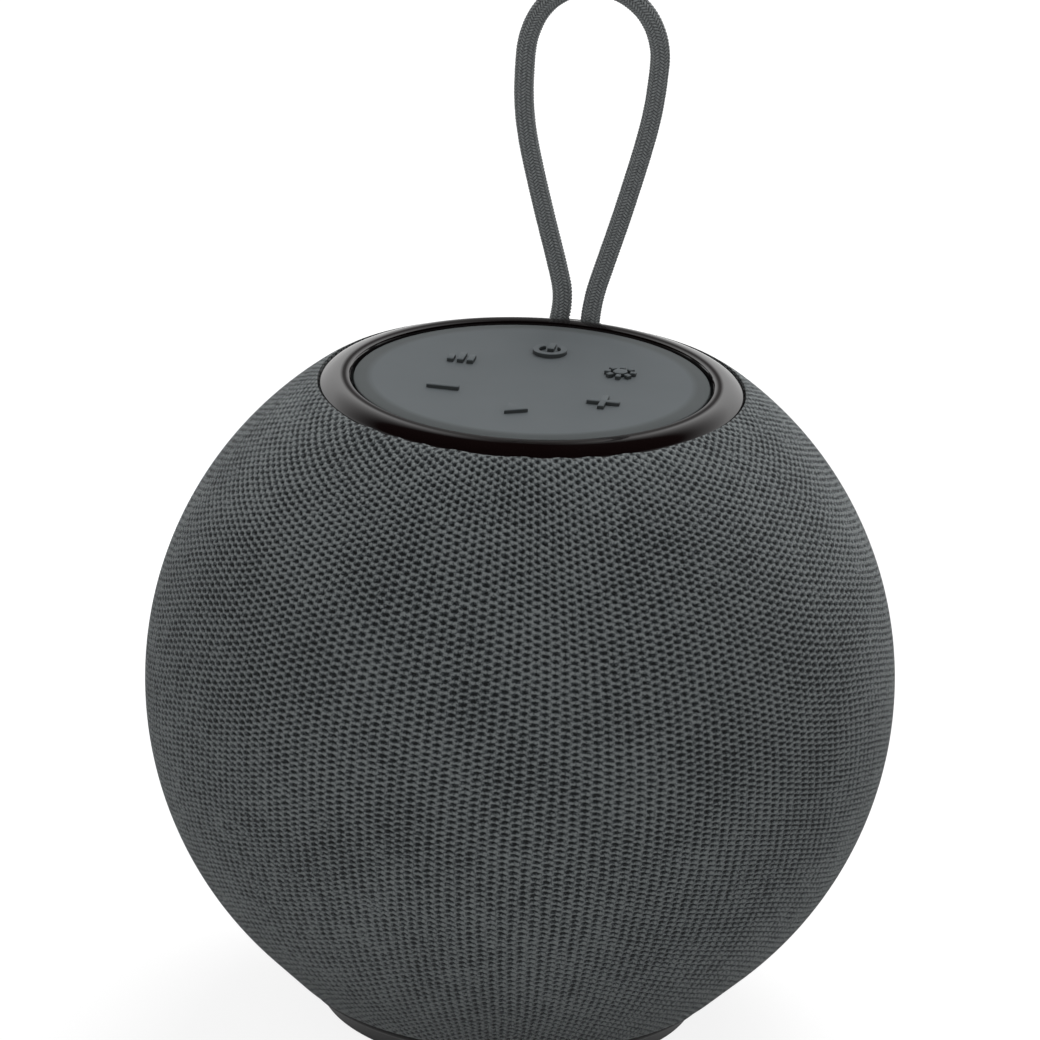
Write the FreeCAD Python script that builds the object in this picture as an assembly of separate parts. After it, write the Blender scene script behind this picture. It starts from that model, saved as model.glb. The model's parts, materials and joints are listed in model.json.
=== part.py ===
import FreeCAD
import Part
import math
import os

# Pod speaker: a fabric covered ball on a low cup, with a control pad on top and a lanyard loop.
# Millimetres, +Z up, front towards -Y, origin on the table under the ball's centre.

# Ball and fabric
BODY_RADIUS = 60.0
BALL_SINK = 4.0
CENTRE_HEIGHT = BODY_RADIUS - BALL_SINK
FABRIC_THICK = 1.2
SOFT_GAP = 0.3
FLARE_ANGLE = 45.0
HEM_INNER = 30.8
HEM_GAP = 0.2
FIT_GAP = 0.3

# Bezel
BEZEL_RADIUS = 33.6
BEZEL_WIDTH = 4.95
BEZEL_WINDOW = BEZEL_RADIUS - BEZEL_WIDTH
BEZEL_CROWN = 0.84
BEZEL_CROWN_RADIUS = 5.4
BEZEL_SHOULDER = 0.5
BEZEL_ROUND = 0.25
BEZEL_DEPTH = 4.6
BEZEL_SKIRT = 3.0
BEZEL_SCREW_REACH = 2.4

# Moulded shell
SHELL_THICK = 2.4
LEDGE_THICK = 2.2
PLATE_SEAT = 6.4
TOP_WINDOW = BEZEL_RADIUS - BEZEL_SKIRT - PLATE_SEAT
BASE_WINDOW = 18.0
SHELL_BOSS_RADIUS = 3.6
SHELL_BOSS_LENGTH = 10.0
SHELL_BOSS_RISE = 20.0
SHELL_SCREW_SINK = 4.0
SLOT_HEIGHT = 2.6
SLOT_PITCH = 5.2

# Control pad and keys
PAD_GAP = 0.45
PAD_RECESS = 0.35
PAD_BAND = 2.6
PAD_BAND_RISE = 0.16
PAD_DISH = 0.35
PAD_SKIN = 1.4
PAD_FLANGE = 1.0
PLATE_THICK = 1.5
KEY_CIRCLE = 14.8
KEY_ANGLES = {"power": 90, "light": 30, "plus": 330, "play": 270, "minus": 210, "mode": 150}
NUB_RADIUS = 2.2
NUB_CLEARANCE = 0.8
NUB_GAP = 0.1

# Key switches and their board
SWITCH_SIDE = 6.0
SWITCH_HEIGHT = 3.1
PLUNGER_RADIUS = 1.7
PLUNGER_STAND = 1.2
PLUNGER_DEPTH = 1.2
PLUNGER_TRAVEL = 0.25
PLUNGER_GAP = 0.1
KEY_BOARD_ROOM = 1.8
KEY_BOARD_RADIUS = TOP_WINDOW - KEY_BOARD_ROOM
KEY_BOARD_DROP = 4.0
KEY_POST_INSET = 2.8
KEY_POST_CIRCLE = KEY_BOARD_RADIUS - KEY_POST_INSET
BOARD_THICK = 1.6

# Lanyard
CORD_RADIUS = 1.55
LEG_SPACING = 5.2
BLOCK_MARGIN = 0.5
BLOCK_FOOT = 1.5
BLOCK_STAND = 3.3
ARC_REACH = 0.45
CORD_CROWN = [
    (-2.6, 52.2), (-3.6, 58.6), (-5.4, 65.4), (-7.4, 73.0), (-9.0, 79.4), (-9.8, 84.9),
    (-9.9, 90.5), (-9.5, 96.1), (-6.6, 101.2), (-1.6, 104.1), (4.3, 104.1), (9.3, 101.2),
    (12.1, 96.0), (11.9, 90.5), (11.4, 85.1), (10.3, 79.8), (8.9, 74.2), (6.9, 66.6),
    (4.9, 59.4), (2.6, 52.4),
]

# Base cup and foot
FOOT_STAND = 0.8
FOOT_THICK = 2.0
FOOT_INNER = 20.5
FOOT_OUTER = 28.5
CUP_HEIGHT = 5.5
CUP_LIP = 34.0
CUP_LIP_ROUND = 0.8
CUP_LIP_STEP = 0.5
CUP_EDGE = 30.6
CUP_EDGE_ROUND = 0.8
CUP_FLOOR = 3.0
CUP_SEAT_WIDTH = 2.6
BASE_SCREW_CIRCLE = 23.5
BASE_BOSS_RADIUS = 3.2
BASE_BOSS_RISE = 5.0

# Screws
SCREW_SHANK = 0.95
SCREW_HEAD = 1.9
SCREW_HEAD_HEIGHT = 1.3
SCREW_ROOM = 0.2
THREAD_ROOM = 0.05
THREAD_END = 1.0
TIP_ROOM = 0.5

# Driver, measured back from its seat in the front shell
DRIVER_SETBACK = 15.0
DRIVER_SEAT = BODY_RADIUS - DRIVER_SETBACK
DRIVER_FLANGE = 31.0
DRIVER_FLANGE_THICK = 1.2
DRIVER_GASKET = 0.8
DRIVER_OPENING = 26.7
DRIVER_SCREW_CIRCLE = 28.9
DRIVER_SCREW_BITE = 3.0
ROLL_RADIUS = 2.1
ROLL_THICK = 0.5
ROLL_LIP = 1.6
CONE_RADIUS = 20.2
CONE_DEPTH = 8.5
CONE_THICK = 0.6
COIL_RADIUS = 7.3
FORMER_THICK = 0.3
WINDING_THICK = 0.45
WINDING_LENGTH = 5.6
FORMER_LENGTH = 14.2
COIL_GAP = 0.4
SPIDER_DEPTH = 12.0
SPIDER_RADIUS = 18.2
SPIDER_THICK = 0.5
SPIDER_WAVE = 0.7
BASKET_SHEET = 1.0
BASKET_DEPTH = 18.0
WINDOW_WIDTH = 13.0
TOP_PLATE_RADIUS = 17.0
TOP_PLATE_THICK = 3.5
MAGNET_RADIUS = 19.0
MAGNET_THICK = 9.0
YOKE_THICK = 3.5
DUST_CAP_RISE = 2.6

# Passive radiator in the rear shell
RADIATOR_SETBACK = 15.0
RADIATOR_SEAT = BODY_RADIUS - RADIATOR_SETBACK
RADIATOR_FLANGE = 26.6
RADIATOR_OPENING = 21.8
RADIATOR_FRAME_THICK = 2.0
RADIATOR_SCREW_CIRCLE = 24.3
RADIATOR_SCREW_BITE = 3.0
RADIATOR_PLATE = 14.4
RADIATOR_PLATE_THICK = 1.2
RADIATOR_ROLL = 2.4
RADIATOR_WEIGHT = 8.0
RADIATOR_WEIGHT_THICK = 4.0

# Charging port at the back
PORT_HALF_LENGTH = 12.0
PORT_HALF_HEIGHT = 4.2
PORT_ROOM = 2.3
PORT_DROP = RADIATOR_FLANGE + FIT_GAP + PORT_ROOM + PORT_HALF_HEIGHT
PORT_WALL = 0.9
PORT_END_WALL = 4.5
PORT_FLOOR = 5.0
PORT_FLANGE = 2.0
PORT_FLANGE_THICK = 1.5
PORT_DEPTH = 11.8
PORT_SEAT = math.sqrt(BODY_RADIUS**2 - PORT_DROP**2) - PORT_DEPTH
SOCKET_WIDTH = 8.94
SOCKET_HEIGHT = 3.26
SOCKET_LENGTH = 9.6
SOCKET_WALL = 0.3
SOCKET_ROOM = 0.15
PORT_BOARD_WIDTH = 16.0
PORT_BOARD_LENGTH = 13.0
PORT_BOARD_THICK = 1.2
PORT_RIB = 2.4
PORT_RIB_LENGTH = 8.0
PORT_SCREW_BITE = 2.4

# Main board
MAIN_BOARD_WIDTH = 50.0
MAIN_BOARD_LENGTH = 36.0
MAIN_BOARD_RISE = 6.0
STANDOFF_RADIUS = 2.4
STANDOFF_INSET = 4.0

# Parts soldered to the main board, set in from its edges
RADIO_WIDTH = 13.0
RADIO_LENGTH = 12.0
RADIO_HEIGHT = 2.2
RADIO_LEFT = 15.0
RADIO_REAR = 9.0
CHIP_SIDE = 7.0
CHIP_HEIGHT = 1.2
CHIP_RIGHT = 19.0
CHIP_FRONT = 12.0
INDUCTOR_SIDE = 6.0
INDUCTOR_HEIGHT = 3.0
INDUCTOR_PITCH = 8.0
INDUCTOR_LEFT = 11.0
INDUCTOR_FRONT = 8.0
CAPACITOR_RADIUS = 3.2
CAPACITOR_HEIGHT = 6.0
CAPACITOR_PITCH = 7.5
CAPACITOR_RIGHT = 10.0
CAPACITOR_FRONT = 4.0
CONNECTOR_LONG = 8.0
CONNECTOR_SHORT = 6.0
CONNECTOR_DEPTH = 4.5
CONNECTOR_HEIGHT = 4.5
CONNECTOR_INSET = 3.5

# Battery
CELL_RADIUS = 9.2
CELL_LENGTH = 65.2
CELL_SETBACK = 8.0
CELL_ROOM = 0.15
CRADLE_WALL = 1.6
CRADLE_FLOOR = 2.0
CRADLE_RISE = 13.4
CRADLE_POST = 30.0
CRADLE_PIN = 1.2
STRAP_WIDTH = 9.0
STRAP_THICK = 0.8

# Levels above the ball's centre
bezel_edge = math.sqrt(BODY_RADIUS**2 - BEZEL_RADIUS**2)
crest = bezel_edge + BEZEL_CROWN
ledge_top = bezel_edge - BEZEL_DEPTH
ledge_low = ledge_top - LEDGE_THICK
plate_top = ledge_top + PLATE_THICK
flange_top = plate_top + PAD_FLANGE
lip_low = flange_top + SOFT_GAP
pad_edge = crest - PAD_RECESS
pad_rim = pad_edge + PAD_BAND_RISE
pad_mid = pad_rim - PAD_DISH
skin_low = pad_mid - PAD_SKIN
key_board_top = ledge_top - KEY_BOARD_DROP
key_board_low = key_board_top - BOARD_THICK
switch_top = key_board_top + SWITCH_HEIGHT
plunger_top = switch_top + PLUNGER_STAND
cup_low = FOOT_STAND - CENTRE_HEIGHT
cup_top = cup_low + CUP_HEIGHT
hem_low = cup_top + HEM_GAP
hem_high = hem_low + FABRIC_THICK
shell_low = hem_high + HEM_GAP
base_ledge_top = shell_low + LEDGE_THICK
main_board_low = base_ledge_top + MAIN_BOARD_RISE
main_board_top = main_board_low + BOARD_THICK

# Radii from the ball's centre and from the vertical axis
fabric_inner = BODY_RADIUS - FABRIC_THICK
shell_radius = fabric_inner - SOFT_GAP
shell_inner = shell_radius - SHELL_THICK
tuck_inner = BEZEL_RADIUS + SOFT_GAP
tuck_outer = tuck_inner + FABRIC_THICK
rim_radius = tuck_outer + SOFT_GAP
skirt_inner = BEZEL_RADIUS - BEZEL_SKIRT
pad_radius = BEZEL_WINDOW - PAD_GAP
block_half_width = CORD_RADIUS + BLOCK_MARGIN
block_half_length = LEG_SPACING / 2 + block_half_width
lanyard_back = BEZEL_RADIUS + SOFT_GAP + block_half_width
screw_hole = SCREW_SHANK + SCREW_ROOM
thread_hole = SCREW_SHANK + THREAD_ROOM

ORIGIN = FreeCAD.Vector(0, 0, 0)
AXIS_X = FreeCAD.Vector(1, 0, 0)
AXIS_Z = FreeCAD.Vector(0, 0, 1)
FAR = 2 * BODY_RADIUS
QUARTERS = (45, 135, 225, 315)


def spot(point):
    return FreeCAD.Vector(point[0], 0, point[1])


def section(start, *steps):
    """Closed face in the XZ plane; a step is a point, or a (middle, end) pair for an arc."""
    edges = []
    here = spot(start)
    for step in steps + (start,):
        if isinstance(step[0], tuple):
            there = spot(step[1])
            edges.append(Part.Arc(here, spot(step[0]), there).toShape())
        else:
            there = spot(step)
            edges.append(Part.LineSegment(here, there).toShape())
        here = there
    return Part.Face(Part.Wire(edges))


def turned(start, *steps):
    return section(start, *steps).revolve(ORIGIN, AXIS_Z, 360)


def bulge(start, end, radius):
    """Middle of the arc of that radius from start to end, on the side away from the axis and table."""
    across = (end[0] - start[0], end[1] - start[1])
    half = math.hypot(*across) / 2
    rise = radius - math.sqrt(radius**2 - half**2)
    middle = ((start[0] + end[0]) / 2, (start[1] + end[1]) / 2)
    return middle[0] + across[1] / 2 / half * rise, middle[1] - across[0] / 2 / half * rise


def cap_height(reach, rise):
    """Height of a spherical cap above its edge, halfway out from its middle."""
    radius = (reach**2 + rise**2) / (2 * rise)
    return math.sqrt(radius**2 - (reach / 2) ** 2) - (radius - rise)


def ring(inner, outer, low, high):
    return turned((inner, low), (outer, low), (outer, high), (inner, high))


def post(radius, low, high, x=0.0, y=0.0):
    return Part.makeCylinder(radius, high - low, FreeCAD.Vector(x, y, low))


def block(x, y, z):
    """Box between the low and high value of each axis."""
    return Part.makeBox(x[1] - x[0], y[1] - y[0], z[1] - z[0], FreeCAD.Vector(x[0], y[0], z[0]))


def slot(half_length, half_height, low, high, x=0.0, y=0.0):
    """Upright bar with round ends, long along X."""
    reach = half_length - half_height
    corners = [(-reach, -half_height), (reach, -half_height), (reach, half_height), (-reach, half_height)]
    points = [FreeCAD.Vector(x + px, y + py, low) for px, py in corners]
    right = FreeCAD.Vector(x + half_length, y, low)
    left = FreeCAD.Vector(x - half_length, y, low)
    edges = [
        Part.LineSegment(points[0], points[1]).toShape(),
        Part.Arc(points[1], right, points[2]).toShape(),
        Part.LineSegment(points[2], points[3]).toShape(),
        Part.Arc(points[3], left, points[0]).toShape(),
    ]
    return Part.Face(Part.Wire(edges)).extrude(FreeCAD.Vector(0, 0, high - low))


def spun(shape, angle):
    copy = shape.copy()
    copy.rotate(ORIGIN, AXIS_Z, angle)
    return copy


def around(shape, angles):
    return [spun(shape, angle) for angle in angles]


def on_circle(radius, angle):
    return radius * math.cos(math.radians(angle)), radius * math.sin(math.radians(angle))


def joined(base, *others):
    return base.multiFuse(list(others)).removeSplitter()


def without(base, *tools):
    return base.cut(list(tools))


def to_front(shape):
    """Turn a shape built along +Z so that it faces -Y."""
    copy = shape.copy()
    copy.rotate(ORIGIN, AXIS_X, 90)
    return copy


def to_rear(shape):
    """Turn a shape built along +Z so that it faces +Y."""
    copy = shape.copy()
    copy.rotate(ORIGIN, AXIS_X, -90)
    return copy


def screw(length):
    """Pan head screw with its seat at zero and its shank going up."""
    return joined(post(SCREW_HEAD, -SCREW_HEAD_HEIGHT, 0), post(SCREW_SHANK, 0, length))


def moved(shape, x, y, z):
    copy = shape.copy()
    copy.translate(FreeCAD.Vector(x, y, z))
    return copy


def group(shapes):
    return Part.makeCompound([solid for shape in shapes for solid in shape.Solids])


# Flare: below its start the ball's side runs straight down and inwards
flare = math.radians(FLARE_ANGLE)


def flare_start(radius):
    return radius * math.sin(flare), -radius * math.cos(flare)


def flare_end(radius, level):
    start = flare_start(radius)
    run = (start[1] - level) / math.sin(flare)
    return start[0] - run * math.cos(flare), level


# Fabric sleeve: a stretched band with its upper edge tucked behind the bezel and a hem under the shell
def fabric_sleeve():
    tuck_low = ledge_top + SOFT_GAP

    def on_ball(radius, reach):
        return reach, math.sqrt(radius**2 - reach**2)

    band = turned(
        (tuck_inner, tuck_low),
        on_ball(BODY_RADIUS, tuck_inner),
        ((BODY_RADIUS, 0), flare_start(BODY_RADIUS)),
        flare_end(BODY_RADIUS, hem_low),
        (HEM_INNER, hem_low),
        (HEM_INNER, hem_high),
        flare_end(fabric_inner, hem_high),
        flare_start(fabric_inner),
        ((fabric_inner, 0), on_ball(fabric_inner, tuck_outer)),
        (tuck_outer, tuck_low),
    )
    notch = slot(block_half_length + SOFT_GAP, block_half_width + SOFT_GAP, 0, FAR, y=lanyard_back)
    foot_notch = block(
        (-block_half_length - SOFT_GAP, block_half_length + SOFT_GAP),
        (0, lanyard_back),
        (0, ledge_top + BLOCK_FOOT + SOFT_GAP),
    )
    return without(band, notch, foot_notch, port_bar(SOFT_GAP))


def port_bar(room):
    """Bar along +Y with the port panel's outline, widened by room."""
    bar = slot(PORT_HALF_LENGTH + room, PORT_HALF_HEIGHT + room, 0, FAR, y=PORT_DROP)
    return to_rear(bar)


# Moulded shell: a hollow ball with a flat ledge at each end, parted front and rear
def shell_whole():
    ball = turned(
        (0, shell_radius),
        ((shell_radius, 0), flare_start(shell_radius)),
        flare_end(shell_radius, shell_low),
        (0, shell_low),
    )
    room = Part.makeSphere(shell_inner).common(
        block((-FAR, FAR), (-FAR, FAR), (base_ledge_top, ledge_low))
    )
    return without(
        ball,
        room,
        post(rim_radius, ledge_top, FAR),
        post(TOP_WINDOW, 0, FAR),
        post(BASE_WINDOW, -FAR, 0),
        *(post(screw_hole, ledge_low - 1, FAR, *place) for place in bezel_screw_places()),
    )


def bezel_screw_places():
    return [on_circle((skirt_inner + BEZEL_RADIUS) / 2, angle) for angle in QUARTERS]


def base_screw_places():
    return [on_circle(BASE_SCREW_CIRCLE, angle) for angle in (60, 120, 240, 300)]


def standoff_places():
    x = MAIN_BOARD_WIDTH / 2 - STANDOFF_INSET
    y = MAIN_BOARD_LENGTH / 2 - STANDOFF_INSET
    return [(x, y), (-x, y), (-x, -y), (x, -y)]


def shell_boss_places():
    reach = math.sqrt(shell_inner**2 - SHELL_BOSS_RISE**2) - SHELL_BOSS_RADIUS
    return [(sx * reach, sz * SHELL_BOSS_RISE) for sx in (1, -1) for sz in (1, -1)]


def seat_ring(inner, outer, seat):
    """Ring that fills from a flat seat out to the shell's wall."""
    return ring(inner, outer, seat, FAR).common(Part.makeSphere(shell_radius - SHELL_THICK / 2))


def grille(radius):
    """Bars for the sound slots inside a circle."""
    count = int(radius // SLOT_PITCH)
    bars = []
    for row in range(-count, count + 1):
        rise = row * SLOT_PITCH
        half = math.sqrt(radius**2 - rise**2)
        if half > SLOT_HEIGHT:
            bars.append(slot(half, SLOT_HEIGHT / 2, BODY_RADIUS / 2, FAR, y=rise))
    return bars


def floor_bosses(side):
    """Bosses and standoffs on the lower ledge for the half on that side."""
    solids = []
    for x, y in base_screw_places():
        if y * side > 0:
            solids.append(post(BASE_BOSS_RADIUS, shell_low, base_ledge_top + BASE_BOSS_RISE, x, y))
    for x, y in standoff_places():
        if y * side > 0:
            solids.append(post(STANDOFF_RADIUS, shell_low, main_board_low, x, y))
    return solids


def floor_holes(side):
    solids = []
    for x, y in base_screw_places():
        if y * side > 0:
            solids.append(post(thread_hole, -FAR, base_ledge_top + BASE_BOSS_RISE + 1, x, y))
    for x, y in standoff_places():
        if y * side > 0:
            solids.append(post(thread_hole, base_ledge_top, main_board_top, x, y))
    return solids


def front_shell():
    half = shell_whole().common(block((-FAR, FAR), (-FAR, 0), (-FAR, FAR)))
    bosses = [
        to_front(post(SHELL_BOSS_RADIUS, 0, SHELL_BOSS_LENGTH, x, z)) for x, z in shell_boss_places()
    ]
    seat = to_front(seat_ring(DRIVER_OPENING, DRIVER_FLANGE + FIT_GAP, DRIVER_SEAT))
    half = joined(half, seat, *bosses, *floor_bosses(-1))
    threads = [
        to_front(post(thread_hole, -1, SHELL_BOSS_LENGTH - THREAD_END, x, z))
        for x, z in shell_boss_places()
    ]
    flange_threads = [
        to_front(post(thread_hole, DRIVER_SEAT - 1, DRIVER_SEAT + DRIVER_SCREW_BITE, *place))
        for place in driver_screw_places()
    ]
    slots = [to_front(bar) for bar in grille(DRIVER_OPENING - SLOT_HEIGHT)]
    return without(half, *slots, *threads, *flange_threads, *floor_holes(-1))


def driver_screw_places():
    return [on_circle(DRIVER_SCREW_CIRCLE, angle) for angle in QUARTERS]


def radiator_screw_places():
    return [on_circle(RADIATOR_SCREW_CIRCLE, angle) for angle in QUARTERS]


def rear_shell():
    half = shell_whole().common(block((-FAR, FAR), (0, FAR), (-FAR, FAR)))
    inside = Part.makeSphere(shell_radius - SHELL_THICK / 2)
    bosses = [
        to_rear(post(SHELL_BOSS_RADIUS, 0, SHELL_BOSS_LENGTH, x, z)) for x, z in shell_boss_places()
    ]
    seat = to_rear(seat_ring(RADIATOR_OPENING, RADIATOR_FLANGE + FIT_GAP, RADIATOR_SEAT))
    frame_half = PORT_HALF_LENGTH + PORT_FLANGE
    frame_rise = PORT_HALF_HEIGHT + PORT_FLANGE
    port_frame = to_rear(slot(frame_half, frame_rise, PORT_SEAT, FAR, y=PORT_DROP)).common(inside)
    ribs = [rib.common(inside) for rib in port_ribs()]
    pin_top = cradle_low + CRADLE_FLOOR - FIT_GAP
    posts = [
        joined(
            post(STANDOFF_RADIUS, shell_low, cradle_low, x, CELL_SETBACK),
            post(CRADLE_PIN, shell_low, pin_top, x, CELL_SETBACK),
        ).common(inside)
        for x in (CRADLE_POST, -CRADLE_POST)
    ]
    half = joined(half, seat, port_frame, *ribs, *bosses, *posts, *floor_bosses(1))
    passages = [
        to_rear(post(screw_hole, -1, FAR, x, z)) for x, z in shell_boss_places()
    ]
    sinks = [
        to_rear(post(SCREW_HEAD + SCREW_ROOM, shell_screw_seat, FAR, x, z))
        for x, z in shell_boss_places()
    ]
    flange_threads = [
        to_rear(post(thread_hole, RADIATOR_SEAT - 1, RADIATOR_SEAT + RADIATOR_SCREW_BITE, *place))
        for place in radiator_screw_places()
    ]
    board_threads = [post(thread_hole, port_board_low - PORT_SCREW_BITE, port_board_low, *place)
                     for place in port_board_screw_places()]
    slots = [to_rear(bar) for bar in grille(RADIATOR_OPENING - SLOT_HEIGHT)]
    pocket = slot(
        block_half_length + FIT_GAP, block_half_width + FIT_GAP, ledge_top, FAR, y=lanyard_back
    )
    return without(
        half, port_bar(FIT_GAP), pocket, *slots, *passages, *sinks, *flange_threads,
        *board_threads, *floor_holes(1)
    )


shell_screw_seat = SHELL_BOSS_LENGTH - SHELL_SCREW_SINK


def shell_screws():
    part = screw(shell_screw_seat + SHELL_BOSS_LENGTH - 2 * THREAD_END)
    part.rotate(ORIGIN, AXIS_X, 180)
    return group([to_rear(moved(part, x, z, shell_screw_seat)) for x, z in shell_boss_places()])


# Bezel: a gloss ring with a rounded crown, a lip over the pad's flange and a skirt on the ledge
def top_bezel():
    corner = BEZEL_ROUND * (1 - math.sqrt(0.5))
    outer = (BEZEL_RADIUS, bezel_edge - BEZEL_SHOULDER)
    inner = (BEZEL_WINDOW + BEZEL_ROUND, crest)
    body = turned(
        (BEZEL_RADIUS, ledge_top),
        outer,
        (bulge(outer, inner, BEZEL_CROWN_RADIUS), inner),
        ((BEZEL_WINDOW + corner, crest - corner), (BEZEL_WINDOW, crest - BEZEL_ROUND)),
        (BEZEL_WINDOW, lip_low),
        (skirt_inner, lip_low),
        (skirt_inner, ledge_top),
    )
    threads = [
        post(thread_hole, ledge_top - 1, ledge_top + BEZEL_SCREW_REACH + FIT_GAP, *place)
        for place in bezel_screw_places()
    ]
    notch = block(
        (-block_half_length - FIT_GAP, block_half_length + FIT_GAP),
        (0, FAR),
        (ledge_top - 1, ledge_top + BLOCK_FOOT + FIT_GAP),
    )
    return without(body, notch, *threads)


def bezel_screws():
    part = screw(LEDGE_THICK + BEZEL_SCREW_REACH)
    return group([moved(part, x, y, ledge_low) for x, y in bezel_screw_places()])


# Control pad: one silicone moulding with a sloped band, a dished middle and a nub under each key
def control_pad():
    rim = pad_radius - PAD_BAND
    cavity = pad_radius - PAD_SKIN
    body = turned(
        (0, skin_low),
        (cavity, skin_low),
        (cavity, plate_top),
        (skirt_inner - SOFT_GAP, plate_top),
        (skirt_inner - SOFT_GAP, flange_top),
        (pad_radius, flange_top),
        (pad_radius, pad_edge),
        (rim, pad_rim),
        ((rim / 2, pad_rim - cap_height(rim, PAD_DISH)), (0, pad_mid)),
    )
    nubs = [
        post(NUB_RADIUS, plunger_top + NUB_GAP, pad_mid - PAD_SKIN / 2, *on_circle(KEY_CIRCLE, angle))
        for angle in KEY_ANGLES.values()
    ]
    return joined(body, *nubs)


def key_post_places():
    return [on_circle(KEY_POST_CIRCLE, angle) for angle in (0, 120, 240)]


def pad_plate():
    plate = post(skirt_inner - FIT_GAP, ledge_top, plate_top)
    posts = [post(STANDOFF_RADIUS, key_board_top, plate_top, *place) for place in key_post_places()]
    threads = [post(thread_hole, key_board_top - 1, ledge_top, *place) for place in key_post_places()]
    holes = [
        post(NUB_RADIUS + NUB_CLEARANCE, ledge_top - 1, plate_top + 1, *on_circle(KEY_CIRCLE, angle))
        for angle in KEY_ANGLES.values()
    ]
    return without(joined(plate, *posts), *threads, *holes)


def control_board():
    holes = [post(screw_hole, key_board_low - 1, ledge_top, *place) for place in key_post_places()]
    return without(post(KEY_BOARD_RADIUS, key_board_low, key_board_top), *holes)


def control_board_screws():
    part = screw(BOARD_THICK + KEY_BOARD_DROP - THREAD_END)
    return group([moved(part, x, y, key_board_low) for x, y in key_post_places()])


def switch_bodies():
    half = SWITCH_SIDE / 2
    housing = block((-half, half), (-half, half), (key_board_top, switch_top))
    well_low = switch_top - PLUNGER_DEPTH - PLUNGER_TRAVEL - PLUNGER_GAP
    housing = without(housing, post(PLUNGER_RADIUS + PLUNGER_GAP, well_low, switch_top + 1))
    return group(
        [moved(housing, *on_circle(KEY_CIRCLE, angle), 0) for angle in KEY_ANGLES.values()]
    )


def plunger(angle):
    return post(PLUNGER_RADIUS, switch_top - PLUNGER_DEPTH, plunger_top, *on_circle(KEY_CIRCLE, angle))


# Lanyard: a moulded end block trapped under the bezel, and the free loop of cord
def lanyard_block():
    stem = slot(
        block_half_length, block_half_width, ledge_top, ledge_top + BLOCK_STAND, y=lanyard_back
    )
    foot = block(
        (-block_half_length, block_half_length),
        (skirt_inner + FIT_GAP, lanyard_back),
        (ledge_top, ledge_top + BLOCK_FOOT),
    )
    return joined(stem, foot)


def lanyard_cord():
    low = ledge_top + BLOCK_STAND
    ends = [(-LEG_SPACING / 2, low), (LEG_SPACING / 2, low)]
    route = [FreeCAD.Vector(x, lanyard_back, z) for x, z in [ends[0]] + CORD_CROWN + [ends[1]]]
    return tube(route, CORD_RADIUS)


def tube(route, radius):
    """Round cord along straight runs joined by the largest tangent arcs."""
    edges = []
    here = route[0]
    for before, corner, after in zip(route, route[1:], route[2:]):
        back = (before - corner).normalize()
        ahead = (after - corner).normalize()
        reach = ARC_REACH * min((before - corner).Length, (after - corner).Length)
        half_turn = (math.pi - back.getAngle(ahead)) / 2
        arc_radius = reach / math.tan(half_turn)
        start = corner + back * reach
        end = corner + ahead * reach
        middle_way = (back + ahead).normalize()
        to_centre = arc_radius / math.cos(half_turn)
        middle = corner + middle_way * (to_centre - arc_radius)
        edges.append(Part.LineSegment(here, start).toShape())
        edges.append(Part.Arc(start, middle, end).toShape())
        print("cord radius", round(arc_radius, 1))
        here = end
    edges.append(Part.LineSegment(here, route[-1]).toShape())
    path = Part.Wire(edges)
    start_face = Part.Wire([Part.makeCircle(radius, route[0], route[1] - route[0])])
    solid = path.makePipeShell([start_face], True, False)
    print("cord length", round(path.Length, 1), "volume ratio",
          round(solid.Volume / (math.pi * radius**2 * path.Length), 4))
    return solid


# Base: a low cup with a beaded lip, and a flat foot ring in its underside
cup_groove = cup_low + FOOT_THICK - FOOT_STAND
cup_floor = cup_low + CUP_FLOOR
cup_seat = HEM_INNER - FIT_GAP


def base_cup():
    edge_corner = CUP_EDGE_ROUND * (1 - math.sqrt(0.5))
    bead_middle = CUP_LIP - CUP_LIP_ROUND
    bead_low = cup_top - 2 * CUP_LIP_ROUND
    body = turned(
        (0, cup_low),
        (CUP_EDGE - CUP_EDGE_ROUND, cup_low),
        ((CUP_EDGE - edge_corner, cup_low + edge_corner), (CUP_EDGE, cup_low + CUP_EDGE_ROUND)),
        (bead_middle - CUP_LIP_STEP, bead_low),
        (bead_middle, bead_low),
        ((CUP_LIP, cup_top - CUP_LIP_ROUND), (bead_middle, cup_top)),
        (cup_seat, cup_top),
        (cup_seat, shell_low),
        (cup_seat - CUP_SEAT_WIDTH, shell_low),
        (cup_seat - CUP_SEAT_WIDTH, cup_floor),
        (0, cup_floor),
    )
    bosses = [post(BASE_BOSS_RADIUS, cup_floor - 1, shell_low, *place) for place in base_screw_places()]
    groove = ring(FOOT_INNER - FIT_GAP, FOOT_OUTER + FIT_GAP, cup_low - 1, cup_groove)
    passages = [post(screw_hole, cup_low, shell_low + 1, *place) for place in base_screw_places()]
    sinks = [
        post(SCREW_HEAD + SCREW_ROOM, cup_low, base_screw_seat, *place) for place in base_screw_places()
    ]
    return without(joined(body, *bosses), groove, *passages, *sinks)


base_screw_seat = cup_groove + SCREW_HEAD_HEIGHT + FIT_GAP


def base_screws():
    part = screw(base_ledge_top + BASE_BOSS_RISE - THREAD_END - base_screw_seat)
    return group([moved(part, x, y, base_screw_seat) for x, y in base_screw_places()])


def foot_ring():
    return ring(FOOT_INNER, FOOT_OUTER, -CENTRE_HEIGHT, cup_groove)


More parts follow.
